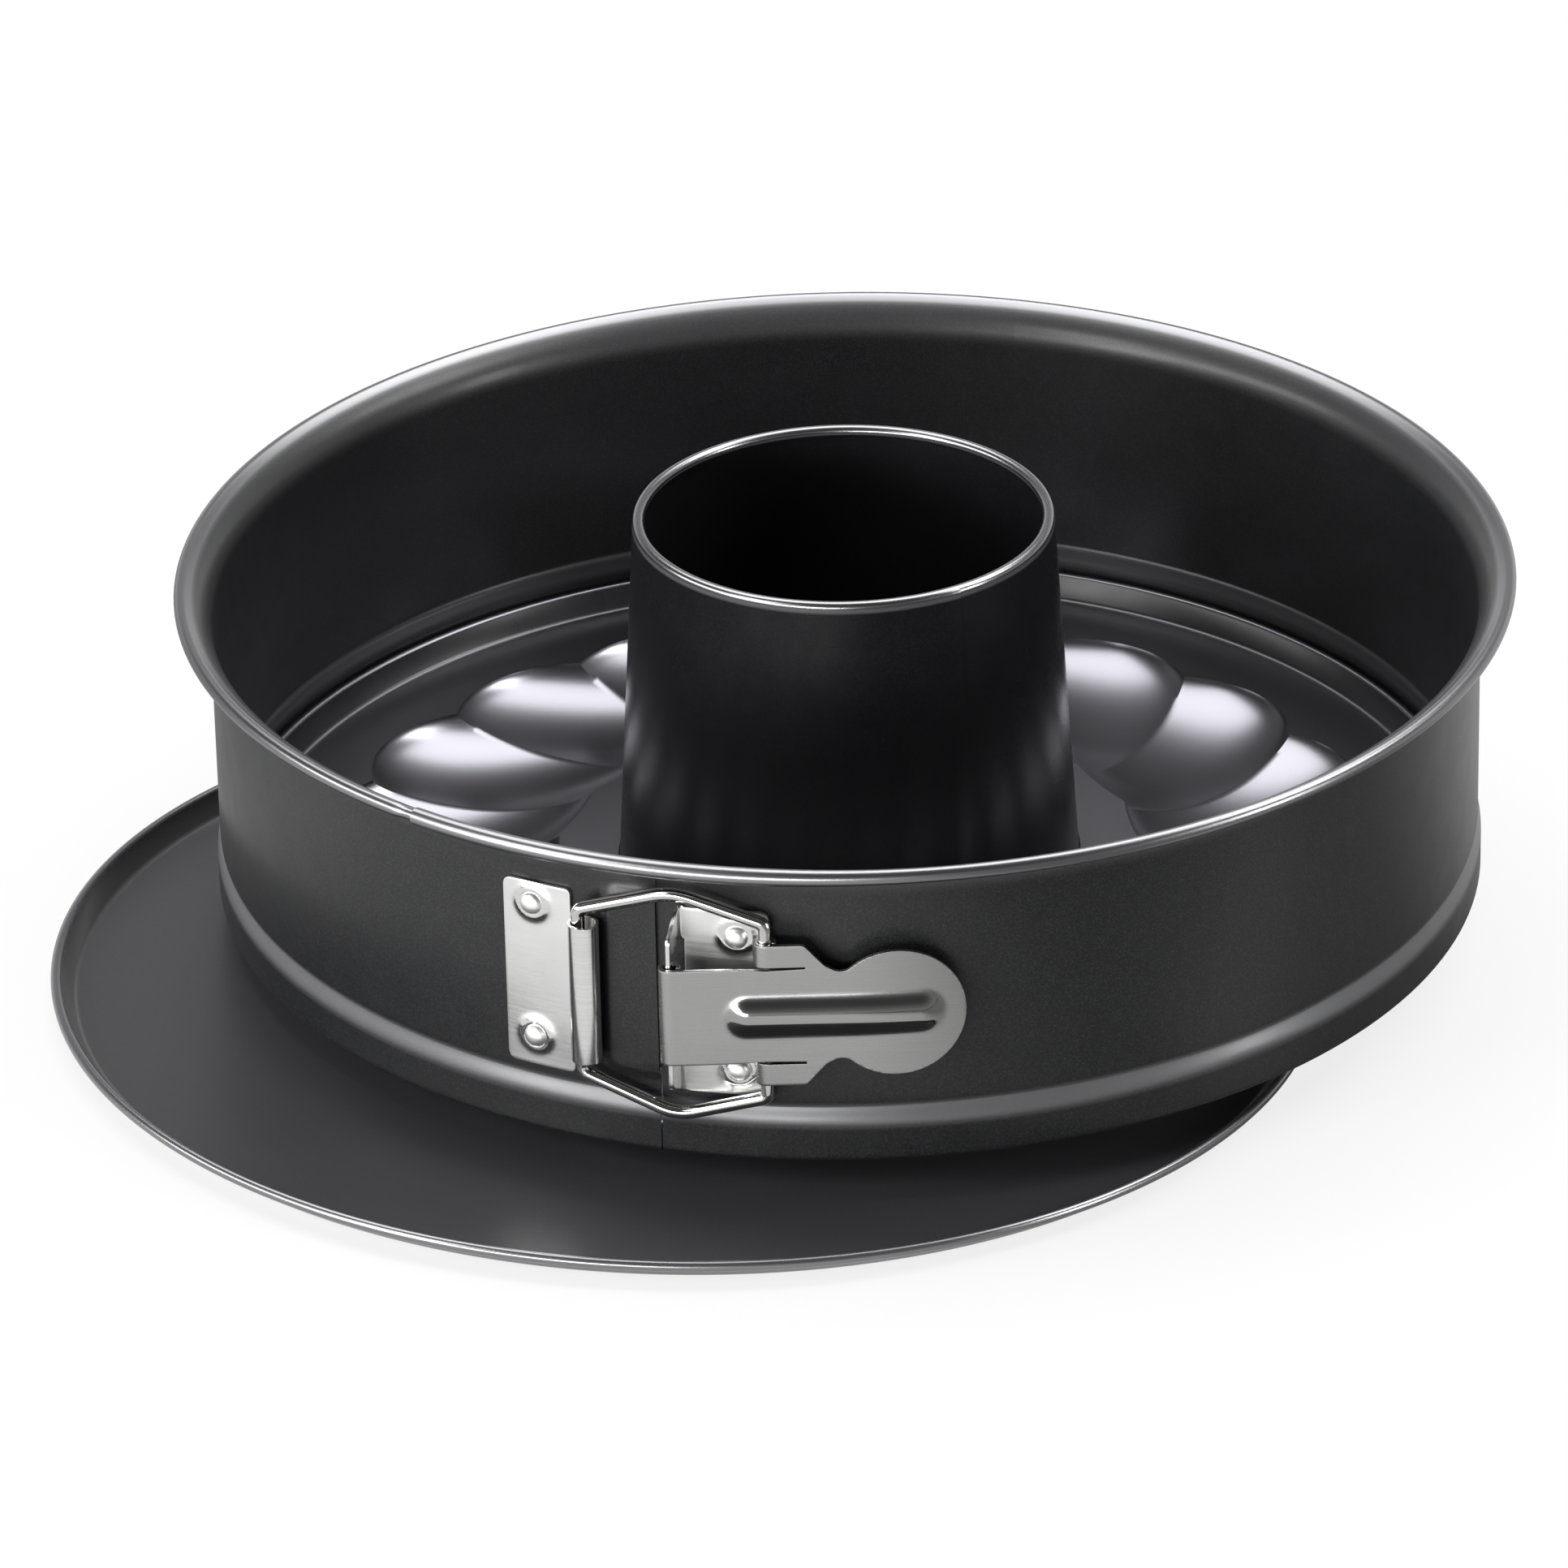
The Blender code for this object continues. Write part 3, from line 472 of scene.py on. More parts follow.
@dataclass(frozen=True)
class SatinCoating:
    """Non-stick coating with fine grains in it, sprayed on sheet steel."""

    name: str
    colour: tuple[float, float, float]
    grain: tuple[float, float, float]
    roughness: float
    specular: float
    coat: float = 0.35
    coat_roughness: float = 0.20
    coat_ior: float = 1.28
    grain_scale: float = 2600.0
    grain_depth: float = 0.00004
    grain_share: float = 0.5
    cloud_scale: float = 16.0
    cloud_share: float = 0.35
    cloud_dark: float = 0.7
    streak_scale: float = 120.0
    uneven: float = 0.035
    streaky: float = 0.02
    bump: float = 0.14
    # Metallic colour mixed in by the polish attribute: partly burnished rolled edges, partly painted sheen
    # that stands in for highlights.
    burnish_and_sheen: tuple[float, float, float] = (0.26, 0.26, 0.27)
    burnish_roughness: float = 0.26

    def material(self) -> bpy.types.Material:
        """Build the material."""
        material, bench, shader = new_material(self.name)
        place = bench.add("ShaderNodeTexCoord").outputs["Object"]
        fine = bench.noise(place, self.grain_scale, 2.0)
        broad = bench.noise(place, self.cloud_scale, 4.0)
        streak = bench.noise(place, self.streak_scale, 3.0)
        grains = bench.ramp(fine, 0.46, 0.68, 0.0, self.grain_share)
        cloud = bench.ramp(broad, NOISE_LOW, NOISE_HIGH, 0.0, self.cloud_share)
        deep = tuple(value * self.cloud_dark for value in self.colour)
        base = bench.blend(cloud, (*self.colour, 1), (*deep, 1))
        base = bench.blend(grains, base, (*self.grain, 1))
        share = bench.add("ShaderNodeAttribute", {"attribute_name": "polish"}).outputs["Fac"]
        low, high = self.roughness - self.uneven, self.roughness + self.uneven
        rough = bench.ramp(broad, NOISE_LOW, NOISE_HIGH, low, high)
        rough = bench.math("ADD", rough, bench.ramp(streak, 0.35, 0.65, -self.streaky, self.streaky))
        relief = bench.add("ShaderNodeBump", None, Strength=self.bump,
                           Distance=self.grain_depth, Height=fine)
        bench.feed_all(shader, {
            # A high polish share turns the coating metallic, as burnished edges and painted sheen; where the
            # share is held low on purpose, it is painted shade.
            "Base Color": bench.blend(share, base, (*self.burnish_and_sheen, 1)),
            "Metallic": share,
            "Roughness": bench.towards(rough, self.burnish_roughness, share),
            "Normal": relief.outputs[0],
            "Specular IOR Level": self.specular,
            "Coat Weight": self.coat,
            "Coat Roughness": self.coat_roughness,
            "Coat IOR": self.coat_ior,
        })
        return material


@dataclass(frozen=True)
class Nickel:
    """Nickel plated steel, brushed or bright."""

    name: str
    colour: tuple[float, float, float]
    roughness: float
    polished: float = 0.10
    brushed: float = 0.05
    brush_dark: float = 0.82
    brush_share: float = 0.5
    brush_depth: float = 0.00002
    cloud_scale: float = 90.0
    turn: float = 0.0
    streaks: tuple[float, float, float] = (60.0, 60.0, 3600.0)
    bump: float = 0.12

    def material(self) -> bpy.types.Material:
        """Build the material."""
        material, bench, shader = new_material(self.name)
        place = bench.add("ShaderNodeTexCoord").outputs["Object"]
        turn = (0, 0, math.radians(self.turn))
        lines = bench.add("ShaderNodeMapping", None, Vector=place, Rotation=turn, Scale=self.streaks)
        brush = bench.noise(lines.outputs[0], 1.0, 3.0)
        broad = bench.noise(place, self.cloud_scale, 4.0)
        share = bench.add("ShaderNodeAttribute", {"attribute_name": "polish"}).outputs["Fac"]
        deep = tuple(value * self.brush_dark for value in self.colour)
        tone = bench.ramp(brush, NOISE_LOW, NOISE_HIGH, 0.0, self.brush_share)
        low, high = self.roughness - self.brushed, self.roughness + self.brushed
        rough = bench.ramp(brush, NOISE_LOW, NOISE_HIGH, low, high)
        rough = bench.math("ADD", rough, bench.ramp(broad, 0.35, 0.65, -0.02, 0.03))
        relief = bench.add("ShaderNodeBump", None, Strength=self.bump,
                           Distance=self.brush_depth, Height=brush)
        bench.feed_all(shader, {
            "Base Color": bench.blend(tone, (*self.colour, 1), (*deep, 1)),
            "Metallic": 1.0,
            "Roughness": bench.towards(rough, self.polished, share),
            "Normal": relief.outputs[0],
        })
        return material


class Finishes(Enum):
    """The finishes of this object."""

    BAND = SatinCoating(
        "band_satin", colour=(0.0045, 0.0047, 0.0052), grain=(0.024, 0.025, 0.027),
        roughness=0.42, specular=0.42, burnish_roughness=0.30)
    PLATE = SatinCoating(
        "pan_gloss", colour=(0.012, 0.0115, 0.014), grain=(0.030, 0.029, 0.035),
        roughness=0.30, specular=0.5, coat=0.15, coat_roughness=0.2, coat_ior=1.35,
        grain_share=0.2, bump=0.03, burnish_and_sheen=(0.24, 0.235, 0.26), burnish_roughness=0.27)
    TUBE = SatinCoating(
        "tube_gloss", colour=(0.006, 0.006, 0.007), grain=(0.020, 0.020, 0.022),
        roughness=0.30, specular=0.35, coat_roughness=0.25, coat_ior=1.3, grain_share=0.3, bump=0.04)
    SPARE = SatinCoating(
        "spare_satin", colour=(0.018, 0.0175, 0.021), grain=(0.050, 0.049, 0.056),
        roughness=0.38, specular=0.35, coat=0.5, coat_roughness=0.22, coat_ior=1.3,
        grain_share=0.35, bump=0.06)
    PLATE_NICKEL = Nickel(
        "plate_nickel", colour=(0.80, 0.80, 0.79), roughness=0.34, turn=28.0, streaks=(60.0, 60.0, 2600.0))
    LEVER_NICKEL = Nickel("lever_nickel", colour=(0.41, 0.41, 0.405), roughness=0.28)
    WIRE_NICKEL = Nickel(
        "wire_nickel", colour=(0.66, 0.65, 0.63), roughness=0.09, polished=0.08, brushed=0.015,
        streaks=(900.0, 900.0, 900.0), bump=0.03)
    RIVET_NICKEL = Nickel(
        "rivet_nickel", colour=(0.93, 0.93, 0.92), roughness=0.40, brushed=0.03,
        streaks=(700.0, 700.0, 700.0), bump=0.05)


def burnish_and_sheen(obj: bpy.types.Object, polish: Callable[[float, float], float]) -> None:
    """Keep how much the coating shines, from the radius and the height of each point: partly burnished
    edges, partly painted sheen and painted shade.
    """
    share = obj.data.attributes.new("polish", "FLOAT", "POINT")
    values = [polish(math.hypot(vert.co.x, vert.co.y), vert.co.z) for vert in obj.data.vertices]
    share.data.foreach_set("value", values)


def dress(obj: bpy.types.Object, finish: Finishes, slot: Slot, body: str, nodes: Sequence[str],
          seat: Matrix | None) -> bpy.types.Object:
    """Put a piece in its place, give it its finish and tie it to its body.

    Args:
        obj: The finished piece.
        finish: Its finish.
        slot: The record's slot that the finish stands for; not used.
        body: The body it rides on.
        nodes: Nodes of the model that it stands for.
        seat: Move to its place, or None where it is in place.

    Returns:
        The piece.
    """
    if seat is not None:
        obj.data.transform(seat)
    obj.data.materials.clear()
    obj.data.materials.append(finish.value.material())
    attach(obj, body)
    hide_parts(*nodes)
    obj.data.calc_loop_triangles()
    LOG.info("%s: %d triangles on %s", obj.name, len(obj.data.loop_triangles), body)
    return obj


# Sub-assemblies


@dataclass
class BaseRim:
    """Section of the rolled rim that both bases have."""

    edge: float
    floor: float
    height: float = 0.0053
    roll: float = 0.0011
    roll_first: float = -110.0
    roll_last: float = 165.0
    roll_steps: int = 18
    margin: float = 0.0049
    bend: float = 0.0010
    bend_steps: int = 6

    def section(self) -> list[Plane]:
        """Give the middle line from the rolled edge to the floor's corner."""
        turn = self.roll - SHEET / 2
        centre = (self.edge - self.roll, self.floor + self.height - self.roll - SHEET / 2)
        line = arc(centre, turn, self.roll_first, self.roll_last, self.roll_steps)
        foot = Vector((self.edge - self.margin, self.floor))
        start = foot + (Vector(line[-1]) - foot).normalized() * self.bend
        end = foot - Vector((self.bend, 0))
        for step in range(self.bend_steps + 1):
            share = step / self.bend_steps
            line.append(tuple(start.lerp(foot, share).lerp(foot.lerp(end, share), share)))
        return line


@dataclass
class SpareBase:
    """The flat base that lies on the table."""

    trim: float = 0.0004
    rings: tuple[float, ...] = (0.110, 0.08, 0.05, 0.025, 0.008)
    steps: int = 240
    floor_shine: float = 0.15
    # Shine on the rolled rim: partly a burnished edge, partly painted sheen.
    rim_shine: float = 0.75
    rim_blend: float = 0.002
    sharp_above: float = 35.0

    def build(self) -> bpy.types.Object:
        """Turn the tray's section, closed in the middle."""
        rim = BaseRim(BASE_RADIUS - self.trim, SHEET / 2)
        line = rim.section() + [(radius, rim.floor) for radius in self.rings]
        obj = turned("spare_base", sheet_section(line, SHEET), spread(-180, 180, 360 / self.steps))
        self.close_middle(obj)
        shade(obj, self.sharp_above)
        middle = rim.edge - rim.margin - self.rim_blend / 2

        def shine(radius: float, height: float) -> float:
            """Give how much the coating shines: most on the rim, partly as a burnished edge and partly as
            painted sheen.
            """
            return self.floor_shine + self.rim_shine * soft_step((radius - middle) / self.rim_blend)

        burnish_and_sheen(obj, shine)
        return dress(obj, Finishes.SPARE, Slot.SPARE, "flat_base", ["flat_base"], None)

    def close_middle(self, obj: bpy.types.Object) -> None:
        """Close the small hole that the turned section leaves in the middle."""
        slack = 0.0001
        work = bmesh.new()
        work.from_mesh(obj.data)
        reach = self.rings[-1] + slack
        inner = {vert for vert in work.verts if math.hypot(vert.co.x, vert.co.y) < reach}
        for face in [face for face in work.faces if inner.issuperset(face.verts)]:
            work.faces.remove(face)
        for vert in [vert for vert in work.verts if not vert.link_faces]:
            work.verts.remove(vert)
        bmesh.ops.holes_fill(work, edges=[edge for edge in work.edges if edge.is_boundary], sides=0)
        bmesh.ops.recalc_face_normals(work, faces=work.faces)
        work.to_mesh(obj.data)
        work.free()


@dataclass
class TubeBase:
    """The pan's own base: rolled rim and a ring of pressed, leaning dimples."""

    count: int = 19
    centre: float = 0.0860
    length: float = 0.0263
    width: float = 0.0299
    depth: float = 0.0083
    swirl: float = 9.4
    fullness: float = 0.75
    hole: float = 0.0483
    flat_rings: tuple[float, ...] = (0.1215, 0.1180, 0.1150)
    inner_rings: int = 4
    columns: int = 28
    rows: int = 34
    weld: float = 0.00001
    # Painted shade: how much of its shine the slope up to the rim loses.
    slope_painted_shade: float = 0.97
    sharp_above: float = 32.0
    rim: BaseRim = field(default_factory=lambda: BaseRim(BASE_RADIUS, FLOOR_MID))

    def edge(self, offset: float, side: int) -> float:
        """Give the radius of a dimple's inner or outer edge at an angle from its middle."""
        across = math.sin(offset) ** 2 / self.width ** 2
        along = 1 / self.length ** 2
        a = along + across
        b = -2 * self.centre * along
        c = self.centre ** 2 * along - 1
        return (-b + side * math.sqrt(b * b - 4 * a * c)) / (2 * a)

    def press(self, radius: float, offset: float) -> float:
        """Give the pressed depth at a radius and an angle from the dimple's middle."""
        along = (radius - self.centre) / self.length
        across = radius * math.sin(offset) / self.width
        return self.depth * max(0.0, 1 - along * along - across * across) ** self.fullness

    def petal(self) -> bpy.types.Object:
        """Build the sheet of one dimple's sector, from the rim to the tube."""
        pitch = 2 * math.pi / self.count
        turn = math.radians(self.swirl)
        floor = self.rim.floor
        outer = self.rim.section() + [(radius, floor) for radius in self.flat_rings]
        points: list[tuple[float, float, float]] = []
        for column in range(self.columns + 1):
            offset = pitch * (column / self.columns - 0.5)
            low, high = self.edge(offset, -1), self.edge(offset, 1)
            stations = [(radius, height, 0.0) for radius, height in outer]
            for row in range(self.rows + 1):
                share = 0.5 + 0.5 * math.cos(math.pi * row / self.rows)
                radius = low + (high - low) * share
                stations.append((radius, floor - self.press(radius, offset), turn * (share - 1)))
            for part in range(1, self.inner_rings + 1):
                stations.append((low + (self.hole - low) * part / self.inner_rings, floor, -turn))
            for radius, height, lean in stations:
                angle = offset + lean
                points.append((radius * math.cos(angle), radius * math.sin(angle), height))
        size = len(points) // (self.columns + 1)
        faces = []
        for column in range(self.columns):
            for row in range(size - 1):
                near, far = column * size + row, (column + 1) * size + row
                faces.append((near, near + 1, far + 1, far))
        return mesh_object("tube_base", points, faces)

    def shine(self, radius: float, height: float) -> float:
        """Give how much the coating shines: less on the slope up to the rim, where the dull, dark coating is
        painted shade.
        """
        foot = self.rim.edge - self.rim.margin
        slope = soft_step((radius - foot + 0.0004) / 0.0006)
        top = soft_step((height - self.rim.floor - self.rim.height + 0.0008) / 0.0004)
        return 1.0 - self.slope_painted_shade * slope * (1 - top)

    def ring_tree(self) -> bpy.types.NodeTree:
        """Build the node tree that sets equal sectors round the axis."""
        inputs = {"Sector": "Geometry", "Count": "Int", "Weld": "Float", "Finish": "Material"}
        tree, bench, given = new_tree("sectors_round_axis", inputs, "Ring")
        points = bench.add("GeometryNodePoints", None, Count=given["Count"])
        pitch = bench.math("DIVIDE", 2 * math.pi, given["Count"])
        index = bench.add("GeometryNodeInputIndex").outputs[0]
        turn = bench.add("ShaderNodeCombineXYZ", None, Z=bench.math("MULTIPLY", index, pitch))
        copies = bench.add("GeometryNodeInstanceOnPoints", None, Points=points.outputs[0],
                           Instance=given["Sector"], Rotation=turn.outputs[0])
        real = bench.add("GeometryNodeRealizeInstances", None, Geometry=copies.outputs[0])
        weld = bench.add("GeometryNodeMergeByDistance", None, Geometry=real.outputs[0],
                         Distance=given["Weld"])
        end_tree(bench, weld, given["Finish"])
        return tree

    def build(self) -> bpy.types.Object:
        """Repeat the petal round the axis and give the sheet its thickness."""
        obj = self.petal()
        run_tree(obj, self.ring_tree(), {"Count": self.count, "Weld": self.weld})
        face_outwards(obj, self.weld)
        wall = obj.modifiers.new("sheet", "SOLIDIFY")
        wall.thickness = SHEET
        wall.offset = 0.0
        bake(obj)
        face_outwards(obj, self.weld / 10)
        shade(obj, self.sharp_above)
        burnish_and_sheen(obj, self.shine)
        return dress(obj, Finishes.PLATE, Slot.PAN, "tube_base", ["tube_base_plate"], SEAT.matrix())


@dataclass
class Tube:
    """The tube in the middle: a cone with its top rolled inwards and a lapped seam."""

    height: float = 0.0792
    top: float = 0.0434
    foot: float = 0.0480
    roll: float = 0.0012
    flange: float = 0.0025
    seam_angle: float = 33.0
    seam_width: float = 7.0
    seam_ramp: float = 5.0
    seam_edge: float = 0.02
    seam_step: float = 0.00022
    seam_top: float = 0.0004
    shine_reach: float = 0.0020
    shine_blend: float = 0.0010
    levels: tuple[float, ...] = (0.015, 0.08, 0.3, 0.55, 0.8, 1.0)
    steps: int = 220
    sharp_above: float = 40.0

    def ledge(self, angle: float, radius: float, height: float) -> tuple[float, float]:
        """Step the wall out a little on one side of the lapped seam."""
        away = (angle - self.seam_angle + 180) % 360 - 180
        if not -self.seam_width < away < 0 or height > self.height - self.seam_top:
            return radius, height
        share = min((away + self.seam_width) / self.seam_ramp, 1.0)
        return radius + self.seam_step * soft_step(share), height

    def shine(self, radius: float, height: float) -> float:
        """Give how much the coating shines: all of it on the roll, none below; the roll's shine is partly a
        burnished edge, partly painted sheen.
        """
        return soft_step((height - self.height + self.shine_reach) / self.shine_blend)

    def build(self) -> bpy.types.Object:
        """Turn the tube's section."""
        centre = (self.top - self.roll, self.height - self.roll)
        line = arc(centre, self.roll - SHEET / 2, 270, -4, 20)
        top = Vector(line[-1])
        foot = Vector((self.foot - SHEET / 2, FLOOR_MID + SHEET / 2))
        line += [tuple(top.lerp(foot, share)) for share in self.levels]
        under = FLOOR_MID - SHEET - CLEAR
        line += [(foot.x, under), (self.foot + self.flange, under)]
        angles = spread(-180, 180, 360 / self.steps)
        angles += spread(self.seam_angle - self.seam_edge, self.seam_angle, self.seam_edge)
        obj = turned("tube_wall", sheet_section(line, SHEET), sorted(set(angles)), self.ledge)
        shade(obj, self.sharp_above)
        burnish_and_sheen(obj, self.shine)
        return dress(obj, Finishes.TUBE, Slot.PAN, "tube_base", ["tube"], SEAT.matrix())


@dataclass
class Band:
    """The split band with flared, rolled rim, raised lap at the seam and rounded foot."""

    height: float = 0.0672
    rim_roll: float = 0.0015
    flare: float = 0.0072
    flare_height: float = 0.0085
    roll_first: float = -140.0
    roll_last: float = 125.0
    roll_steps: int = 22
    flare_entry: float = 0.0022
    flare_lift: float = 0.62
    flare_steps: int = 12
    groove: float = 0.0118
    slope: float = 0.0038
    slope_steps: int = 16
    recess: float = 0.00035
    recess_height: float = 0.0010
    recess_steps: int = 5
    foot_round: float = 0.0011
    foot_lip: float = 0.0004
    seam: float = -16.3
    gap: float = 0.0003
    lap_angle: float = -21.6
    lap_low: float = 0.0160
    lap_high: float = 0.0585
    lap_corner: float = 0.0045
    lap_ramp: float = 0.0021
    tongue: float = 0.0088
    tongue_margin: float = 0.0025
    sleeve_end: float = -38.0
    sleeve_grow: float = 0.0003
    sleeve_skirt: float = 0.0032
    fade_start: float = 4.0
    fade_width: float = 22.0
    fade_reach: float = 0.0034
    fade_edge: float = 0.0014
    neck: float = 0.00035
    neck_reach: float = 2.2
    neck_width: float = 1.4
    rim_reach: float = 1.9
    rim_blend: float = 0.8
    # Painted sheen on the flare and on the groove above the foot.
    flare_painted_sheen: float = 0.10
    flare_blend: float = 0.003
    foot_painted_sheen: float = 0.4
    wide_turn: float = 1.8
    plain_turn: float = 1.2
    sleeve_turn: float = 0.9
    tongue_turn: float = 0.8
    close_turn: float = 0.28
    lap_turn: float = 0.22
    sharp_above: float = 38.0

    def roll_centre(self) -> Vector:
        """Give the radius and the height of the middle of the rim's roll."""
        return Vector((WALL_RADIUS + self.flare - self.rim_roll, self.height - self.rim_roll))

    def flare_line(self, top: Vector, foot: Vector) -> list[Plane]:
        """Give the flare between the roll and the wall as a cubic curve."""
        turn = math.radians(self.roll_last)
        first = top - Vector((math.sin(turn), -math.cos(turn))) * self.flare_entry
        second = foot + Vector((0, self.flare_height * self.flare_lift))
        points = []
        for count in range(1, self.flare_steps + 1):
            share = count / self.flare_steps
            near, middle, far = top.lerp(first, share), first.lerp(second, share), second.lerp(foot, share)
            points.append(tuple(near.lerp(middle, share).lerp(middle.lerp(far, share), share)))
        return points

    def groove_line(self, mid: float) -> list[Plane]:
        """Give the groove: a short slope inwards, then a long one out to the foot."""
        points = []
        for count in range(1, self.recess_steps + 1):
            share = count / self.recess_steps
            height = self.groove + self.recess_height * (1 - share)
            points.append((mid - self.recess * soft_step(share), height))
        for count in range(1, self.slope_steps + 1):
            share = count / self.slope_steps
            bulge = soft_step(share) * 0.5 + 0.5 * math.sin(share * math.pi / 2)
            radius = mid - self.recess + (GROOVE_STEP + self.recess) * bulge
            points.append((radius, self.groove - self.slope * share))
        return points

    def line(self) -> list[Plane]:
        """Give the middle line of the section from the rolled edge down to the lip."""
        mid = WALL_RADIUS - SHEET / 2
        outer = mid + GROOVE_STEP
        turn = self.foot_round - SHEET / 2
        wall_top, wall_foot = self.height - self.flare_height - 0.001, self.groove + 0.0012
        foot_top, foot_low = self.groove - self.slope - 0.001, self.foot_round + 0.0006
        points = arc(tuple(self.roll_centre()), self.rim_roll - SHEET / 2,
                     self.roll_first, self.roll_last, self.roll_steps)
        points += self.flare_line(Vector(points[-1]), Vector((mid, self.height - self.flare_height)))
        points += [(mid, height) for height in spread(wall_top, wall_foot, 0.0011)]
        points += self.groove_line(mid)
        points += [(outer, height) for height in spread(foot_top, foot_low, 0.0014)]
        points += arc((outer - turn, self.foot_round), turn, 0, -90, 7)
        points.append((outer - turn - self.foot_lip, SHEET / 2))
        return points

    def lap(self, angle: float, height: float) -> float:
        """Give how far the raised lap stands out, from a rounded rectangle on the wall."""
        right = (angle - self.lap_angle) * math.radians(1) * WALL_RADIUS
        middle = (self.lap_low + self.lap_high) / 2
        half = (self.lap_high - self.lap_low) / 2
        down = half - abs(height - middle)
        corner = self.lap_corner
        if right < corner and down < corner:
            inside = corner - math.hypot(corner - right, corner - down)
        else:
            inside = min(right, down)
        return (SHEET + CLEAR * 1.5) * soft_step(inside / self.lap_ramp)

    def left_shift(self, angle: float, radius: float, height: float) -> tuple[float, float]:
        """Raise the lap and draw the rim's roll in where the sleeve goes over it."""
        if angle > self.lap_angle and self.lap_low < height < self.lap_high:
            return radius + self.lap(angle, height), height
        share = soft_step((angle - self.sleeve_end + self.neck_reach) / self.neck_width)
        arm = Vector((radius, height)) - self.roll_centre()
        if share > 0 and arm.length < self.rim_roll * 1.02:
            return self.grown(arm, -share * self.neck)
        return radius, height

    def grown(self, arm: Vector, more: float) -> Plane:
        """Give a point of the roll after the roll's radius has grown, from its arm."""
        place = self.roll_centre() + arm * (1 + more / self.rim_roll)
        return place.x, place.y

    def sleeve_line(self) -> list[Plane]:
        """Give the middle line of the sleeve: the roll and a short skirt below it."""
        first_points = self.roll_steps + 5
        centre = self.roll_centre()
        return [point for point in self.line()[:first_points]
                if (Vector(point) - centre).length < self.sleeve_skirt]

    def width_share(self, angle: float) -> float:
        """Give the share of the sleeve's width, which fades out to the right of the seam."""
        return 1 - soft_step((angle - self.seam - self.fade_start) / self.fade_width)

    def sleeve_shift(self, angle: float, radius: float, height: float) -> tuple[float, float]:
        """Make the sleeve a little wider than the roll it covers."""
        arm = Vector((radius, height)) - self.roll_centre()
        return self.grown(arm, self.width_share(angle) * self.sleeve_grow)

    def right_shift(self, angle: float, radius: float, height: float) -> tuple[float, float]:
        """Carry the sleeve's width on into the right side's own rim."""
        arm = Vector((radius, height)) - self.roll_centre()
        if arm.length > self.fade_reach:
            return radius, height
        fade = soft_step((self.fade_reach - arm.length) / self.fade_edge)
        return self.grown(arm, self.width_share(angle) * fade * self.sleeve_grow)

    def shine(self, radius: float, height: float) -> float:
        """Give how much the coating shines: all of it on the rolled rim, partly a burnished edge and partly
        painted sheen; some on the flare and at the foot, as painted sheen for highlights.
        """
        rolls_away = (Vector((radius, height)) - self.roll_centre()).length / self.rim_roll
        rim = soft_step((self.rim_reach - rolls_away) / self.rim_blend)
        up_flare = height - self.height + self.flare_height
        flare = self.flare_painted_sheen * soft_step(up_flare / self.flare_blend)
        # Painted sheen on the groove's slope above the foot, for its highlight.
        below = soft_step((self.groove + 0.0012 - height) / 0.0015)
        above = soft_step((height - self.groove + self.slope + 0.0008) / 0.0020)
        return max(rim, flare, self.foot_painted_sheen * below * above)

    def left_angles(self, end: float) -> list[float]:
        """Give the angles of the left side, closer at the sleeve's end and on the lap."""
        sleeve = self.sleeve_end
        angles = spread(self.seam - 180, sleeve - 2.4, self.wide_turn)
        angles += spread(sleeve - 2.2, sleeve, self.close_turn)
        angles += spread(sleeve + 0.5, self.lap_angle - 0.3, self.plain_turn)
        return angles + spread(self.lap_angle, end, self.lap_turn)

    def build(self) -> list[bpy.types.Object]:
        """Build both sides of the band."""
        loop = sheet_section(self.line(), SHEET)
        half_gap = math.degrees(self.gap / 2 / WALL_RADIUS)
        first = self.seam + half_gap
        left = turned("band_left_side", loop, self.left_angles(self.seam - half_gap), self.left_shift)
        angles = spread(first, 12, self.plain_turn) + spread(13.5, self.seam + 180, self.wide_turn)
        right = turned("band_right_side", loop, angles, self.right_shift)
        sleeve = turned("sleeve", sheet_section(self.sleeve_line(), SHEET),
                        spread(self.sleeve_end, first, self.sleeve_turn), self.sleeve_shift)
        mid, margin = WALL_RADIUS - SHEET / 2, self.tongue_margin
        strip = [(mid, height) for height in spread(self.lap_low + margin, self.lap_high - margin, 0.003)]
        reach = math.degrees(self.tongue / WALL_RADIUS)
        angles = spread(self.seam - reach, first, self.tongue_turn)
        tongue = turned("tongue", sheet_section(strip, SHEET), angles)
        right = joined("band_right_side", [right, sleeve, tongue])
        pieces = []
        for side, body in ((left, "band_left"), (right, "band_right")):
            shade(side, self.sharp_above)
            burnish_and_sheen(side, self.shine)
            pieces.append(dress(side, Finishes.BAND, Slot.BAND, body, [body], SEAT.matrix()))
        return pieces


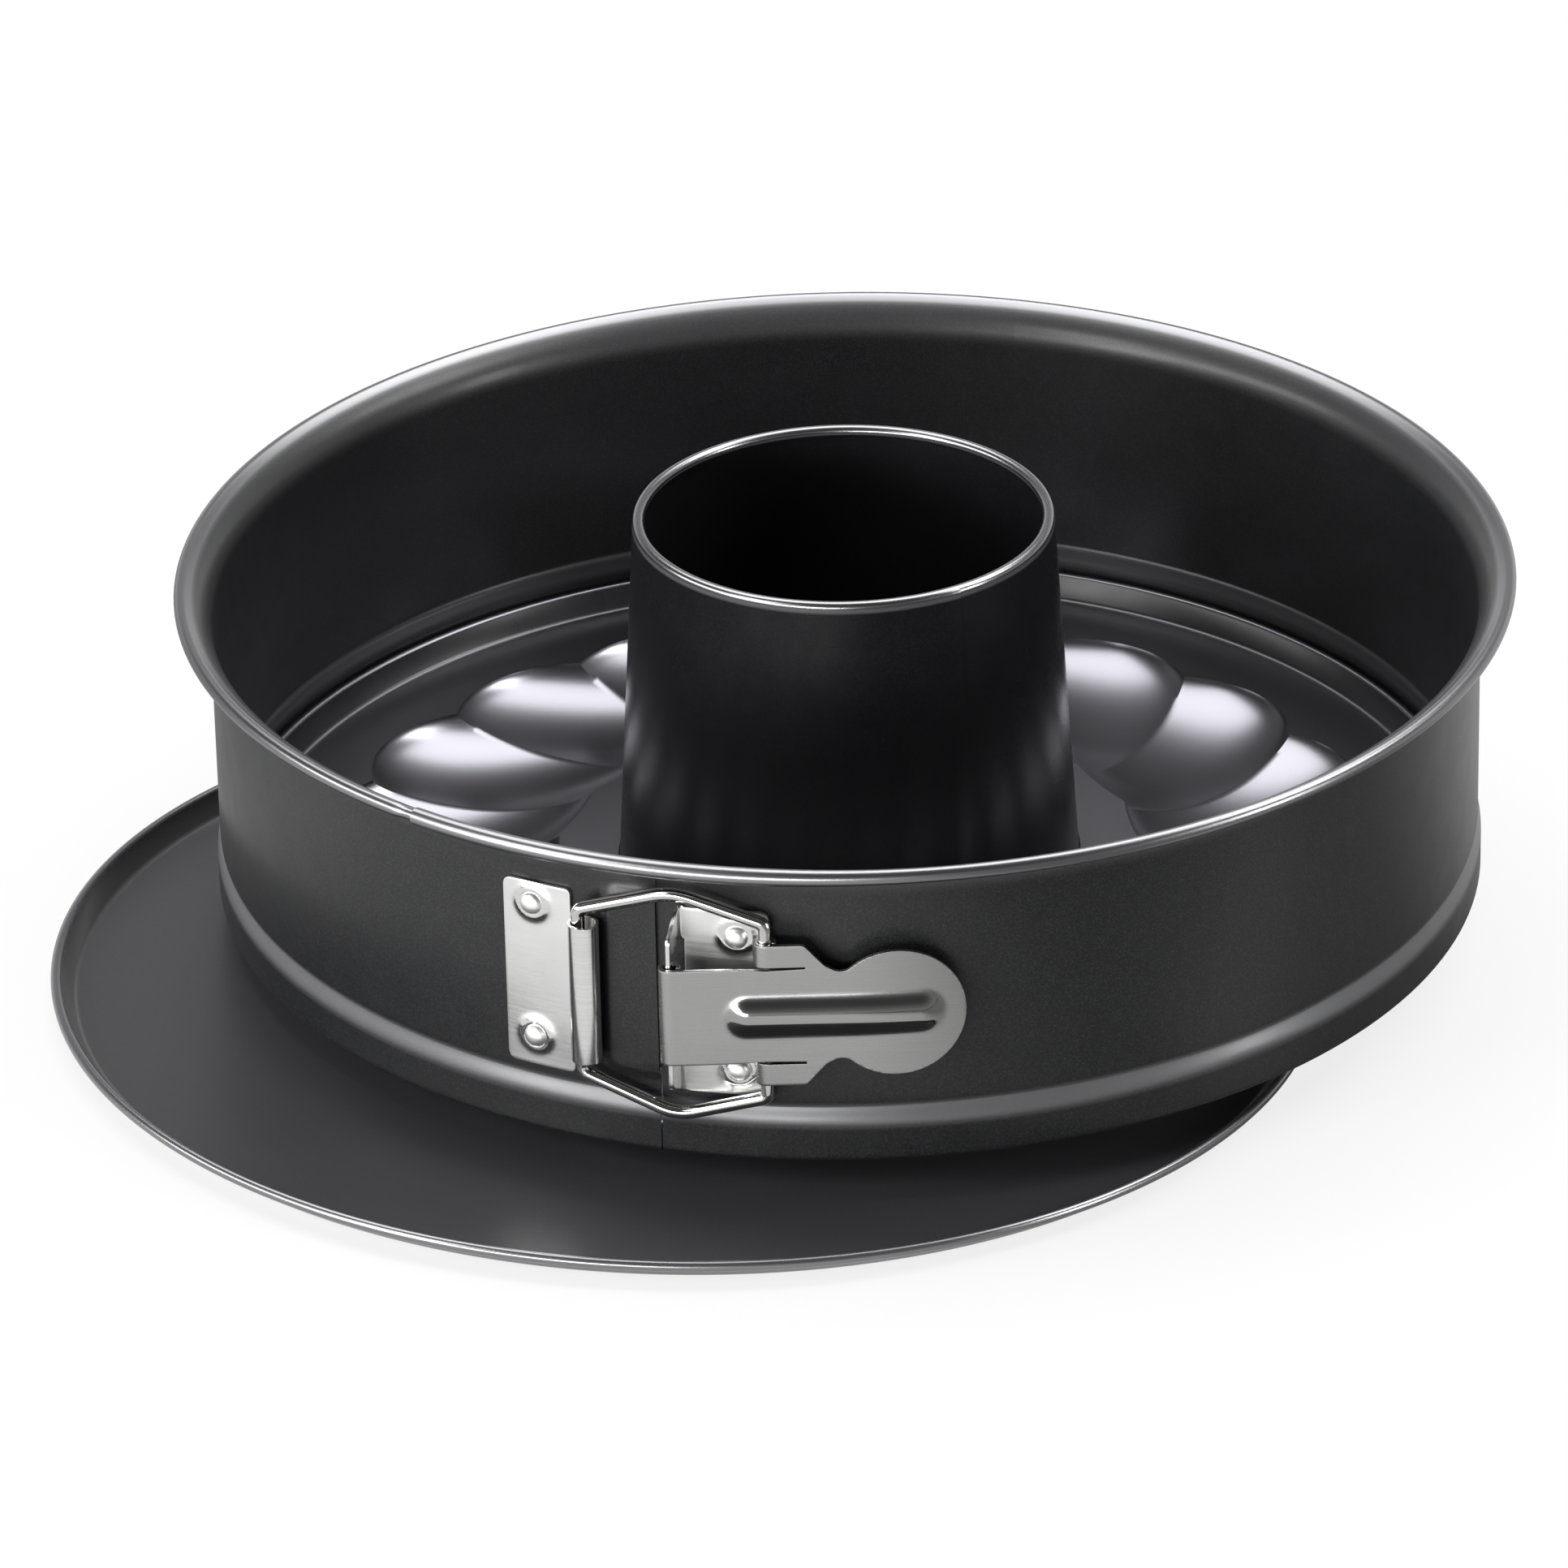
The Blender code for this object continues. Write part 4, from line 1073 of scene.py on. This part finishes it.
@dataclass
class Clasp:
    """The toggle clasp: two riveted plates, a ribbed lever and a wire bail."""

    plate_sheet: float = 0.0006
    plate_half: float = 0.0203
    plate_width: float = 0.0149
    plate_corner: float = 0.0020
    strike_angle: float = -22.45
    strike_bore: float = 0.0025
    strike_curl_half: float = 0.0151
    strike_neck: float = 0.0039
    strike_rivet_angle: float = -27.8
    strike_rivet_rise: float = 0.0011
    curl_wrap: float = 290.0
    cup_radius: float = 0.0037
    cup_height: float = 0.0007
    cup_rim: float = 0.78
    cup_blend: float = 0.26
    curl_shine: float = 0.75
    ear_shine: float = 0.5
    lever_sheet: float = 0.0008
    lever_angle: float = -14.4
    standoff: float = 0.0077
    pitch: float = 16.0
    lever_bore: float = 0.0014
    panel_half: float = 0.0104
    panel_waist: float = 0.0100
    wing_start: float = 0.0187
    wing_end: float = 0.0262
    wing_half: float = 0.0154
    wing_bore: float = 0.0015
    slit: float = 0.0003
    slit_end: float = 0.0265
    panel_straight: float = 0.0360
    paddle_centre: float = 0.0443
    paddle_radius: float = 0.0136
    neck_at: float = 0.0332
    neck_half: float = 0.0092
    rib_start: float = 0.0100
    rib_end: float = 0.0540
    rib_half: float = 0.0050
    rib_height: float = 0.0018
    bracket_sheet: float = 0.0008
    bracket_bend: float = 0.0009
    bracket_width: float = 0.0172
    ear_root: float = 0.0135
    ear_lift: float = 0.0005
    ear_slope: float = 0.004
    ear_shoulder: float = 0.0018
    pivot_tab: float = 0.0010
    pivot_reach: float = 0.0021
    bracket_rivet_angle: float = -9.3
    wire_radius: float = 0.00138
    leg_half: float = 0.0180
    pin_half: float = 0.0192
    peak: float = 0.0247
    peak_share: float = 0.52
    bulge: float = 0.0012
    wire_bend: float = 0.0035
    pin_reach: float = 0.0036
    wire_shift: complex = complex(-0.00107, 0.00026)
    rivet_level: float = 0.01475
    rivet_shank: float = 0.0012
    rivet_head: float = 0.0024
    rivet_dome: float = 0.0015
    rivet_tail: float = 0.0019
    rivet_tail_height: float = 0.0005
    rivet_steps: int = 40
    rivet_sharp: float = 40.0
    wire_sides: int = 24
    wire_sharp: float = 50.0
    plate_edge: float = 0.00012
    lever_edge: float = 0.00014

    def plated(self, obj: bpy.types.Object, finish: Finishes, body: str,
               nodes: Sequence[str]) -> bpy.types.Object:
        """Put a piece of the clasp in its place, with its finish, on its body."""
        return dress(obj, finish, Slot.NICKEL, body, nodes, SEAT.matrix())

    def plate_mid(self) -> float:
        """Give the radius of the strike plate's middle."""
        return WALL_RADIUS + CLEAR + self.plate_sheet / 2

    def strike_curl(self) -> float:
        """Give the radius of the middle of the strike plate's curl."""
        return self.strike_bore + self.plate_sheet / 2

    def lever_curl(self) -> float:
        """Give the radius of the middle of the lever's curl."""
        return self.lever_bore + self.lever_sheet / 2

    def wing_curl(self) -> float:
        """Give the radius of the middle of a wing's curl."""
        return self.wing_bore + self.lever_sheet / 2

    def lever_start(self) -> tuple[complex, complex, complex]:
        """Give where the panel leaves its curl, its heading and its outward direction."""
        heading = front_heading(self.lever_angle + self.pitch)
        outward = -1j * heading
        pivot = front_point(self.lever_angle, WALL_RADIUS + self.standoff)
        return pivot + outward * self.lever_curl(), heading, outward

    def bail_pivot(self) -> complex:
        """Give the middle of the wings' curls in plan."""
        start, heading, outward = self.lever_start()
        return start + heading * self.wing_start - outward * self.wing_curl()

    def cup(self, u: float, v: float, rivet_u: float, rise: float) -> float:
        """Give the height of the pressed cups round the two rivets."""
        height = 0.0
        for side in (1, -1):
            away = math.hypot(u - rivet_u, v - rise - side * self.rivet_level)
            rim = math.exp(-((away / self.cup_radius - self.cup_rim) / self.cup_blend) ** 2)
            height = max(height, self.cup_height * rim)
        return height

    def strike_plate(self) -> bpy.types.Object:
        """Build the plate with the wide curl."""
        curl, mid = self.strike_curl(), self.plate_mid()
        wrap = math.radians(self.curl_wrap) * curl
        edge = -self.strike_neck
        left = edge - self.plate_width
        half, corner = self.plate_half, self.plate_corner
        upper = [((left, half), corner), ((edge, half), corner * 0.6),
                 ((edge, self.strike_curl_half), corner * 0.3),
                 ((wrap, self.strike_curl_half), corner * 0.2)]
        cuts = spread(left, edge, 0.0005) + spread(edge, 0, 0.0008) + spread(0.0, wrap, 0.0005)
        obj = blank_grid("strike_plate_bright", mirrored(upper), cuts, spread(-half, half, 0.0006))
        rivet_u = math.radians(self.strike_rivet_angle - self.strike_angle) * mid
        start, heading = front_point(self.strike_angle, mid), front_heading(self.strike_angle)

        def lay(u: float, v: float) -> tuple[complex, float]:
            """Lay a flat point on the wall or round the curl."""
            if u < 0:
                point, back = walk(start, -heading, [(1.0, -1 / mid)], -u)
                return point + 1j * back * self.cup(u, v, rivet_u, self.strike_rivet_rise), v
            return walk(start, heading, [(1.0, -1 / curl)], u)[0], v

        def polish(u: float, v: float) -> float:
            """Burnish the cups and the curl."""
            if u > 0:
                return self.curl_shine
            return min(1.0, self.cup(u, v, rivet_u, self.strike_rivet_rise) / self.cup_height * 1.3)

        bend_blank(obj, lay, self.plate_sheet, self.plate_edge, polish)
        return self.plated(obj, Finishes.PLATE_NICKEL, "band_left", ["strike_plate"])

    def rib(self, u: float, v: float) -> float:
        """Give the share of the pressed rib's height."""
        nearest = min(max(u, self.rib_start + self.rib_half), self.rib_end - self.rib_half)
        share = math.hypot(u - nearest, v) / self.rib_half
        return (0.5 + 0.5 * math.cos(math.pi * share)) ** 0.8 if share < 1 else 0.0

    def lever_outline(self) -> list[Plane]:
        """Give the flat outline: panel, wings, neck and round paddle."""
        wrap = math.radians(self.curl_wrap) * self.lever_curl()
        wing_tip = self.wing_start - math.radians(self.curl_wrap) * self.wing_curl()
        half, wide, inner = self.panel_half, self.wing_half, self.panel_half + self.slit
        slope = wide - self.panel_waist
        upper = [((-wrap, half), 0.0003), ((self.wing_start * 0.6, half), 0.004),
                 ((self.wing_start, self.panel_waist), 0.004),
                 ((self.slit_end, inner - self.slit * 1.5), 0), ((self.slit_end, inner), 0),
                 ((wing_tip, inner), 0.0002), ((wing_tip, wide), 0.0003), ((self.wing_end, wide), 0.0014),
                 ((self.wing_end + slope * 0.75, self.panel_waist + slope * 0.15), 0.0030),
                 ((self.neck_at, self.neck_half), 0.0060), ((self.paddle_centre, self.paddle_radius), 0)]
        path = [tuple(point) for point in fillet(upper, 7, False)][:-1]
        path += arc((self.paddle_centre, 0), self.paddle_radius, 125, 0, 36)[:-1]
        tip = [(self.paddle_centre + self.paddle_radius, 0.0)]
        return path + tip + [(u, -v) for u, v in reversed(path)]

    def lever(self) -> bpy.types.Object:
        """Build the ribbed lever with its curled end and curled wings."""
        wrap = math.radians(self.curl_wrap) * self.lever_curl()
        wide, end = self.wing_half, self.paddle_centre + self.paddle_radius
        cuts = spread(-wrap, 0.0, 0.0004) + spread(0.0006, self.wing_start, 0.0006)
        cuts += spread(self.wing_start, end, 0.0006)
        obj = blank_grid("lever_bright", self.lever_outline(), cuts, spread(-wide, wide, 0.00055))
        start, heading, outward = self.lever_start()
        bends = [(self.panel_straight, 0), (1.0, 1 / (WALL_RADIUS + self.standoff))]
        wing_edge = self.panel_half + self.slit / 2
        curl, wing = self.lever_curl(), self.wing_curl()
        wing_top = self.bail_pivot() + outward * wing

        def lay(u: float, v: float) -> tuple[complex, float]:
            """Lay a flat point on the panel, the rib or one of the curls."""
            if abs(v) > wing_edge and u < self.wing_start:
                return walk(wing_top, -heading, [(1.0, -1 / wing)], self.wing_start - u)[0], v
            if u < 0:
                return walk(start, -heading, [(1.0, -1 / curl)], -u)[0], v
            point, ahead = walk(start, heading, bends, u)
            return point - 1j * ahead * self.rib_height * self.rib(u, v), v

        def polish(u: float, v: float) -> float:
            """Burnish the rib."""
            return soft_step(self.rib(u, v) * 3)

        bend_blank(obj, lay, self.lever_sheet, self.lever_edge, polish)
        return self.plated(obj, Finishes.LEVER_NICKEL, "lever", ["lever"])

    def bracket(self) -> bpy.types.Object:
        """Build the plate whose ears carry the lever."""
        mid = WALL_RADIUS + CLEAR + self.bracket_sheet / 2
        bend = math.pi / 2 * self.bracket_bend
        pin = -(bend + WALL_RADIUS + self.standoff - mid - self.bracket_bend)
        tip, tab = pin - self.pivot_tab, pin + self.pivot_tab
        tab_end, shoulder = self.panel_half - self.pivot_reach, self.panel_half + self.ear_shoulder
        half, width, root = self.plate_half, self.bracket_width, self.ear_root
        upper = [((width, half), self.plate_corner), ((-bend, half), 0.0010),
                 ((tip, half - self.ear_slope), 0.0020), ((tip, tab_end), 0.0004),
                 ((tab, tab_end), 0.0004), ((tab, shoulder), 0.0003),
                 ((-bend - self.ear_lift, root), 0.0006), ((self.ear_lift, root), 0.0003)]
        cuts = spread(tip, -bend, 0.0008) + spread(-bend, 0, 0.00025) + spread(0.0, width, 0.0006)
        obj = blank_grid("bracket_bright", mirrored(upper), cuts, spread(-half, half, 0.0007))
        rivet_u = math.radians(self.bracket_rivet_angle - self.lever_angle) * mid - self.bracket_bend
        first = self.lever_angle + math.degrees(self.bracket_bend / mid)
        start, heading = front_point(first, mid), front_heading(first)

        def lay(u: float, v: float) -> tuple[complex, float]:
            """Lay a flat point on the wall or up the ear."""
            if u < 0:
                return walk(start, -heading, [(bend, 1 / self.bracket_bend), (1.0, 0)], -u)[0], v
            point, ahead = walk(start, heading, [(1.0, 1 / mid)], u)
            return point - 1j * ahead * 0.6 * self.cup(u, v, rivet_u, 0.0), v

        def polish(u: float, v: float) -> float:
            """Burnish the cups and the ears."""
            if u < 0:
                return self.ear_shine
            return min(1.0, self.cup(u, v, rivet_u, 0.0) / self.cup_height * 1.2)

        bend_blank(obj, lay, self.bracket_sheet, self.plate_edge, polish)
        return self.plated(obj, Finishes.PLATE_NICKEL, "band_right", ["lever_bracket"])

    def wire_tree(self) -> bpy.types.NodeTree:
        """Build the node tree that draws a round wire along a path."""
        inputs = {"Path": "Geometry", "Wire radius": "Float", "Sides": "Int", "Finish": "Material"}
        tree, bench, given = new_tree("wire_along_path", inputs, "Wire")
        path = bench.add("GeometryNodeMeshToCurve", None, Mesh=given["Path"])
        ring = bench.add("GeometryNodeCurvePrimitiveCircle", None, Resolution=given["Sides"],
                         Radius=given["Wire radius"])
        wire = bench.add("GeometryNodeCurveToMesh", None, Curve=path.outputs[0],
                         Profile_Curve=ring.outputs[0], Fill_Caps=True)
        real = bench.add("GeometryNodeRealizeInstances", None, Geometry=wire.outputs[0])
        end_tree(bench, real, given["Finish"])
        return tree

    def bail(self) -> bpy.types.Object:
        """Draw the wire bail along its path."""
        leg = front_point(self.strike_angle, self.plate_mid() + self.strike_curl()) + self.wire_shift
        pin = self.bail_pivot()
        outward = -1j * (pin - leg) / abs(pin - leg)
        peak = leg + (pin - leg) * self.peak_share + outward * self.bulge
        end = self.wing_half - self.pin_reach
        upper = [((pin.real, pin.imag, end), 0), ((pin.real, pin.imag, self.pin_half), self.wire_bend * 0.5),
                 ((peak.real, peak.imag, self.peak), 3.4 * self.wire_bend),
                 ((leg.real, leg.imag, self.leg_half), self.wire_bend * 0.6)]
        lower = [((x, y, -z), radius) for (x, y, z), radius in reversed(upper)]
        raised = Vector((0, 0, CLASP_LEVEL))
        path = [point + raised for point in fillet(upper + lower, 9, False)]
        edges = [(index, index + 1) for index in range(len(path) - 1)]
        obj = mesh_object("bail_wire", path, [], edges)
        run_tree(obj, self.wire_tree(), {"Wire radius": self.wire_radius, "Sides": self.wire_sides})
        face_outwards(obj)
        shade(obj, self.wire_sharp)
        return self.plated(obj, Finishes.WIRE_NICKEL, "bail", ["bail"])

    def rivet_tree(self) -> bpy.types.NodeTree:
        """Build the node tree that sets one rivet at each point of a row."""
        inputs = {"Points": "Geometry", "Rivet": "Object", "Facing": "Rotation", "Finish": "Material"}
        tree, bench, given = new_tree("rivets_at_points", inputs, "Rivets")
        rivet = bench.add("GeometryNodeObjectInfo", None, Object=given["Rivet"])
        copies = bench.add("GeometryNodeInstanceOnPoints", None, Points=given["Points"],
                           Instance=rivet.outputs["Geometry"], Rotation=given["Facing"])
        real = bench.add("GeometryNodeRealizeInstances", None, Geometry=copies.outputs[0])
        end_tree(bench, real, given["Finish"])
        return tree

    def rivet(self, sheet: float) -> bpy.types.Object:
        """Turn one rivet about its own axis, its foot on the wall at the origin."""
        seat = 2 * CLEAR + sheet
        inner = -SHEET - CLEAR
        low = inner - self.rivet_tail_height
        head, dome, shank, tail = self.rivet_head, self.rivet_dome, self.rivet_shank, self.rivet_tail
        line: list[Plane] = [(0.0, seat + dome)]
        for count in range(1, 9):
            tilt = math.radians(count * 10.5)
            line.append((head * math.sin(tilt), seat + dome * math.cos(tilt)))
        line += [(head, seat + dome * 0.06), (head, seat), (shank, seat), (shank, inner), (tail, inner),
                 (tail * 0.95, low), (0.0, low)]
        steps = self.rivet_steps
        points = [(0.0, 0.0, line[0][1])]
        for radius, height in line[1:-1]:
            for step in range(steps):
                turn = 2 * math.pi * step / steps
                points.append((radius * math.cos(turn), radius * math.sin(turn), height))
        points.append((0.0, 0.0, line[-1][1]))
        last = len(points) - 1
        faces = [(0, 1 + step, 1 + (step + 1) % steps) for step in range(steps)]
        for row in range(len(line) - 3):
            for step in range(steps):
                near, far = 1 + row * steps, 1 + (row + 1) * steps
                after = (step + 1) % steps
                faces.append((near + step, far + step, far + after, near + after))
        ring = last - steps
        faces += [(last, ring + (step + 1) % steps, ring + step) for step in range(steps)]
        return mesh_object("rivet_pattern", points, faces)

    def rivets(self, name: str, angle: float, rise: float, sheet: float, body: str,
               nodes: Sequence[str]) -> bpy.types.Object:
        """Set the two rivets of one plate."""
        levels = [CLASP_LEVEL + rise + side * self.rivet_level for side in (1, -1)]
        spot = front_point(angle, WALL_RADIUS)
        obj = mesh_object(name, [(spot.real, spot.imag, level) for level in levels], [])
        outward, along = front_point(angle, 1.0), front_heading(angle)
        facing = Matrix(((along.real, 0, outward.real), (along.imag, 0, outward.imag), (0, 1, 0)))
        pattern = self.rivet(sheet)
        run_tree(obj, self.rivet_tree(), {"Rivet": pattern, "Facing": facing.to_euler()})
        bpy.data.objects.remove(pattern)
        face_outwards(obj)
        shade(obj, self.rivet_sharp)
        return self.plated(obj, Finishes.RIVET_NICKEL, body, nodes)

    def build(self) -> list[bpy.types.Object]:
        """Build all the pieces of the clasp."""
        return [
            self.strike_plate(), self.bracket(), self.lever(), self.bail(),
            self.rivets("strike_rivets", self.strike_rivet_angle, self.strike_rivet_rise, self.plate_sheet,
                        "band_left", ["strike_rivet_upper", "strike_rivet_lower"]),
            self.rivets("bracket_rivets", self.bracket_rivet_angle, 0.0, self.bracket_sheet,
                        "band_right", ["bracket_rivet_upper", "bracket_rivet_lower"]),
        ]


# Studio


@dataclass(frozen=True)
class SoftBox:
    """A soft studio lamp."""

    name: str
    place: tuple[float, float, float]
    aim: tuple[float, float, float]
    size: tuple[float, float]
    power: float

    def build(self) -> None:
        """Hang the lamp."""
        lamp = bpy.data.lights.new(self.name, "AREA")
        lamp.shape = "RECTANGLE"
        lamp.size, lamp.size_y = self.size
        lamp.energy = self.power
        obj = linked(self.name, lamp)
        obj.location = self.place
        obj.rotation_euler = (Vector(self.aim) - Vector(self.place)).to_track_quat("-Z", "Y").to_euler()


def plain_rays(seen: bpy.types.bpy_prop_collection, bench: Bench) -> bpy.types.NodeSocket:
    """Give 1 for what the camera, gloss and glass see, and 0 for light on matt surfaces."""
    share = bench.math("MAXIMUM", seen["Is Camera Ray"], seen["Is Glossy Ray"])
    return bench.math("MAXIMUM", share, seen["Is Transmission Ray"])


@dataclass
class Studio:
    """Pale floor, white background, soft lamps and the camera."""

    camera_place: tuple[float, float, float] = (0.0197, -1.7942, 0.9059)
    elevation: float = 25.60
    roll: float = 0.83
    lens: float = 223.9
    floor_level: float = -0.0002
    floor_reach: float = 12.0
    lamps: tuple[SoftBox, ...] = (
        SoftBox("lamp_overhead", (0.0, 0.50, 1.20), (0.02, 0.05, 0.0), (1.50, 0.95), 18.0),
        SoftBox("lamp_front", (-0.34, -1.60, 0.13), (0.0, 0.0, 0.06), (0.60, 0.22), 8.0),
        SoftBox("lamp_front_left", (-1.05, -1.20, 0.20), (0.0, 0.0, 0.06), (1.2, 0.38), 15.0),
        SoftBox("lamp_left", (-1.05, -0.85, 0.85), (0.0, 0.1, 0.06), (0.5, 0.6), 7.0),
        SoftBox("lamp_left_low", (-1.45, -0.45, 0.42), (0.0, 0.0, 0.06), (1.5, 0.40), 14.0),
        SoftBox("lamp_right_low", (1.35, -0.48, 0.36), (0.0, 0.0, 0.05), (0.20, 0.68), 6.0),
        SoftBox("lamp_right", (0.95, 0.20, 1.10), (0.0, 0.1, 0.06), (0.5, 0.5), 7.0),
    )

    def camera(self) -> None:
        """Set up the camera at the photograph's angle."""
        tilt, roll = math.radians(self.elevation), math.radians(self.roll)
        ahead = Vector((0, math.cos(tilt), -math.sin(tilt)))
        side = Vector((1, 0, 0))
        up = side.cross(ahead)
        right = math.cos(roll) * side + math.sin(roll) * up
        top = -math.sin(roll) * side + math.cos(roll) * up
        lens = bpy.data.cameras.new("camera")
        lens.lens = self.lens
        lens.sensor_width = 36
        lens.clip_start = 0.01
        obj = linked("camera", lens)
        columns = Matrix((right, top, -ahead)).transposed().to_4x4()
        obj.matrix_world = Matrix.Translation(self.camera_place) @ columns
        bpy.context.scene.camera = obj

    def world(self) -> None:
        """Make the room: white to the eye, plain and uneven to the object."""
        world = bpy.data.worlds.new("room")
        bpy.context.scene.world = world
        world.use_nodes = True
        world.node_tree.nodes.clear()
        bench = Bench(world.node_tree)
        seen = bench.add("ShaderNodeLightPath").outputs
        way = bench.add("ShaderNodeTexCoord").outputs["Generated"]
        x, y, z = bench.add("ShaderNodeSeparateXYZ", None, Vector=way).outputs
        back = bench.ramp(y, -0.6, 0.8, 0.28, 0.75)
        high = bench.ramp(z, 0.25, 0.9, 1.0, 0.35)
        room = bench.math("MULTIPLY", back, high)
        light = bench.add("ShaderNodeBackground", None, Color=(1, 1, 1, 1), Strength=room)
        lean = bench.math("ADD", y, bench.math("MULTIPLY", x, 0.2))
        behind = bench.ramp(lean, 0.2, 0.9, 0.3, 1.0)
        sky = bench.math("MULTIPLY", bench.ramp(z, 0.10, 0.42, 1.0, 0.25), behind)
        strength = bench.math("MAXIMUM", sky, seen["Is Camera Ray"])
        white = bench.add("ShaderNodeBackground", None, Color=(1, 1, 1, 1), Strength=strength)
        share = plain_rays(seen, bench)
        mix = bench.add("ShaderNodeMixShader", None, _0=share, _1=light.outputs[0], _2=white.outputs[0])
        out = bench.add("ShaderNodeOutputWorld")
        bench.feed(out.inputs[0], mix.outputs[0])

    def floor(self) -> None:
        """Lay the pale floor, which keeps the object's shadow and glows in painted light pools that the pan
        reflects.
        """
        reach, low = self.floor_reach, self.floor_level
        corners = [(-reach, -reach, low), (reach, -reach, low), (reach, reach, low), (-reach, reach, low)]
        obj = mesh_object("floor", corners, [(0, 1, 2, 3)])
        material, bench, shader = new_material("floor_pale")
        place = bench.add("ShaderNodeTexCoord").outputs["Object"]
        tone = bench.ramp(bench.noise(place, 8.0, 3.0), NOISE_LOW, NOISE_HIGH, 0.0, 1.0)
        colour = bench.blend(tone, (0.70, 0.70, 0.70, 1), (0.72, 0.72, 0.72, 1))
        bench.feed_all(shader, {"Base Color": colour, "Roughness": 0.9, "Specular IOR Level": 0.1})
        seen = bench.add("ShaderNodeLightPath").outputs
        # Painted light: the floor glows in pools to the left, to the right and in a strip at the front
        # right. Only reflections on the pan show them.
        x, y, _ = bench.add("ShaderNodeSeparateXYZ", None, Vector=place).outputs
        front = bench.ramp(y, -0.02, 0.10, 1.0, 0.35)
        left = bench.math("MULTIPLY", bench.ramp(x, 0.04, 0.13, 0.75, 0.04), front)
        edge = bench.ramp(y, 0.0, 0.10, 0.0, 0.6)
        right = bench.math("MULTIPLY", bench.ramp(x, 0.15, 0.19, 0.0, 1.0), edge)
        near, far = bench.ramp(y, -0.13, -0.095, 0.0, 0.6), bench.ramp(y, -0.085, -0.05, 1.0, 0.0)
        strip = bench.math("MULTIPLY", near, far)
        strip = bench.math("MULTIPLY", strip, bench.ramp(x, 0.12, 0.15, 0.0, 1.0))
        painted_light_pool = bench.math("MAXIMUM", bench.math("MAXIMUM", left, right), strip)
        strength = bench.math("MAXIMUM", painted_light_pool, seen["Is Camera Ray"])
        glow = bench.add("ShaderNodeEmission", None, Color=(1, 1, 1, 1), Strength=strength)
        share = bench.math("MULTIPLY", plain_rays(seen, bench), 0.80)
        mix = bench.add("ShaderNodeMixShader", None, _0=share, _1=shader.outputs[0], _2=glow.outputs[0])
        bench.feed(bench.tree.nodes["Material Output"].inputs[0], mix.outputs[0])
        obj.data.materials.append(material)

    def build(self) -> None:
        """Set up the studio."""
        self.camera()
        self.world()
        self.floor()
        for lamp in self.lamps:
            lamp.build()
        bpy.context.scene.view_settings.view_transform = "Standard"


def main() -> None:
    """Build the studio and every sub-assembly."""
    logging.basicConfig(level=logging.INFO)
    Studio().build()
    SpareBase().build()
    TubeBase().build()
    Tube().build()
    Band().build()
    Clasp().build()


if __name__ == "__main__":
    main()
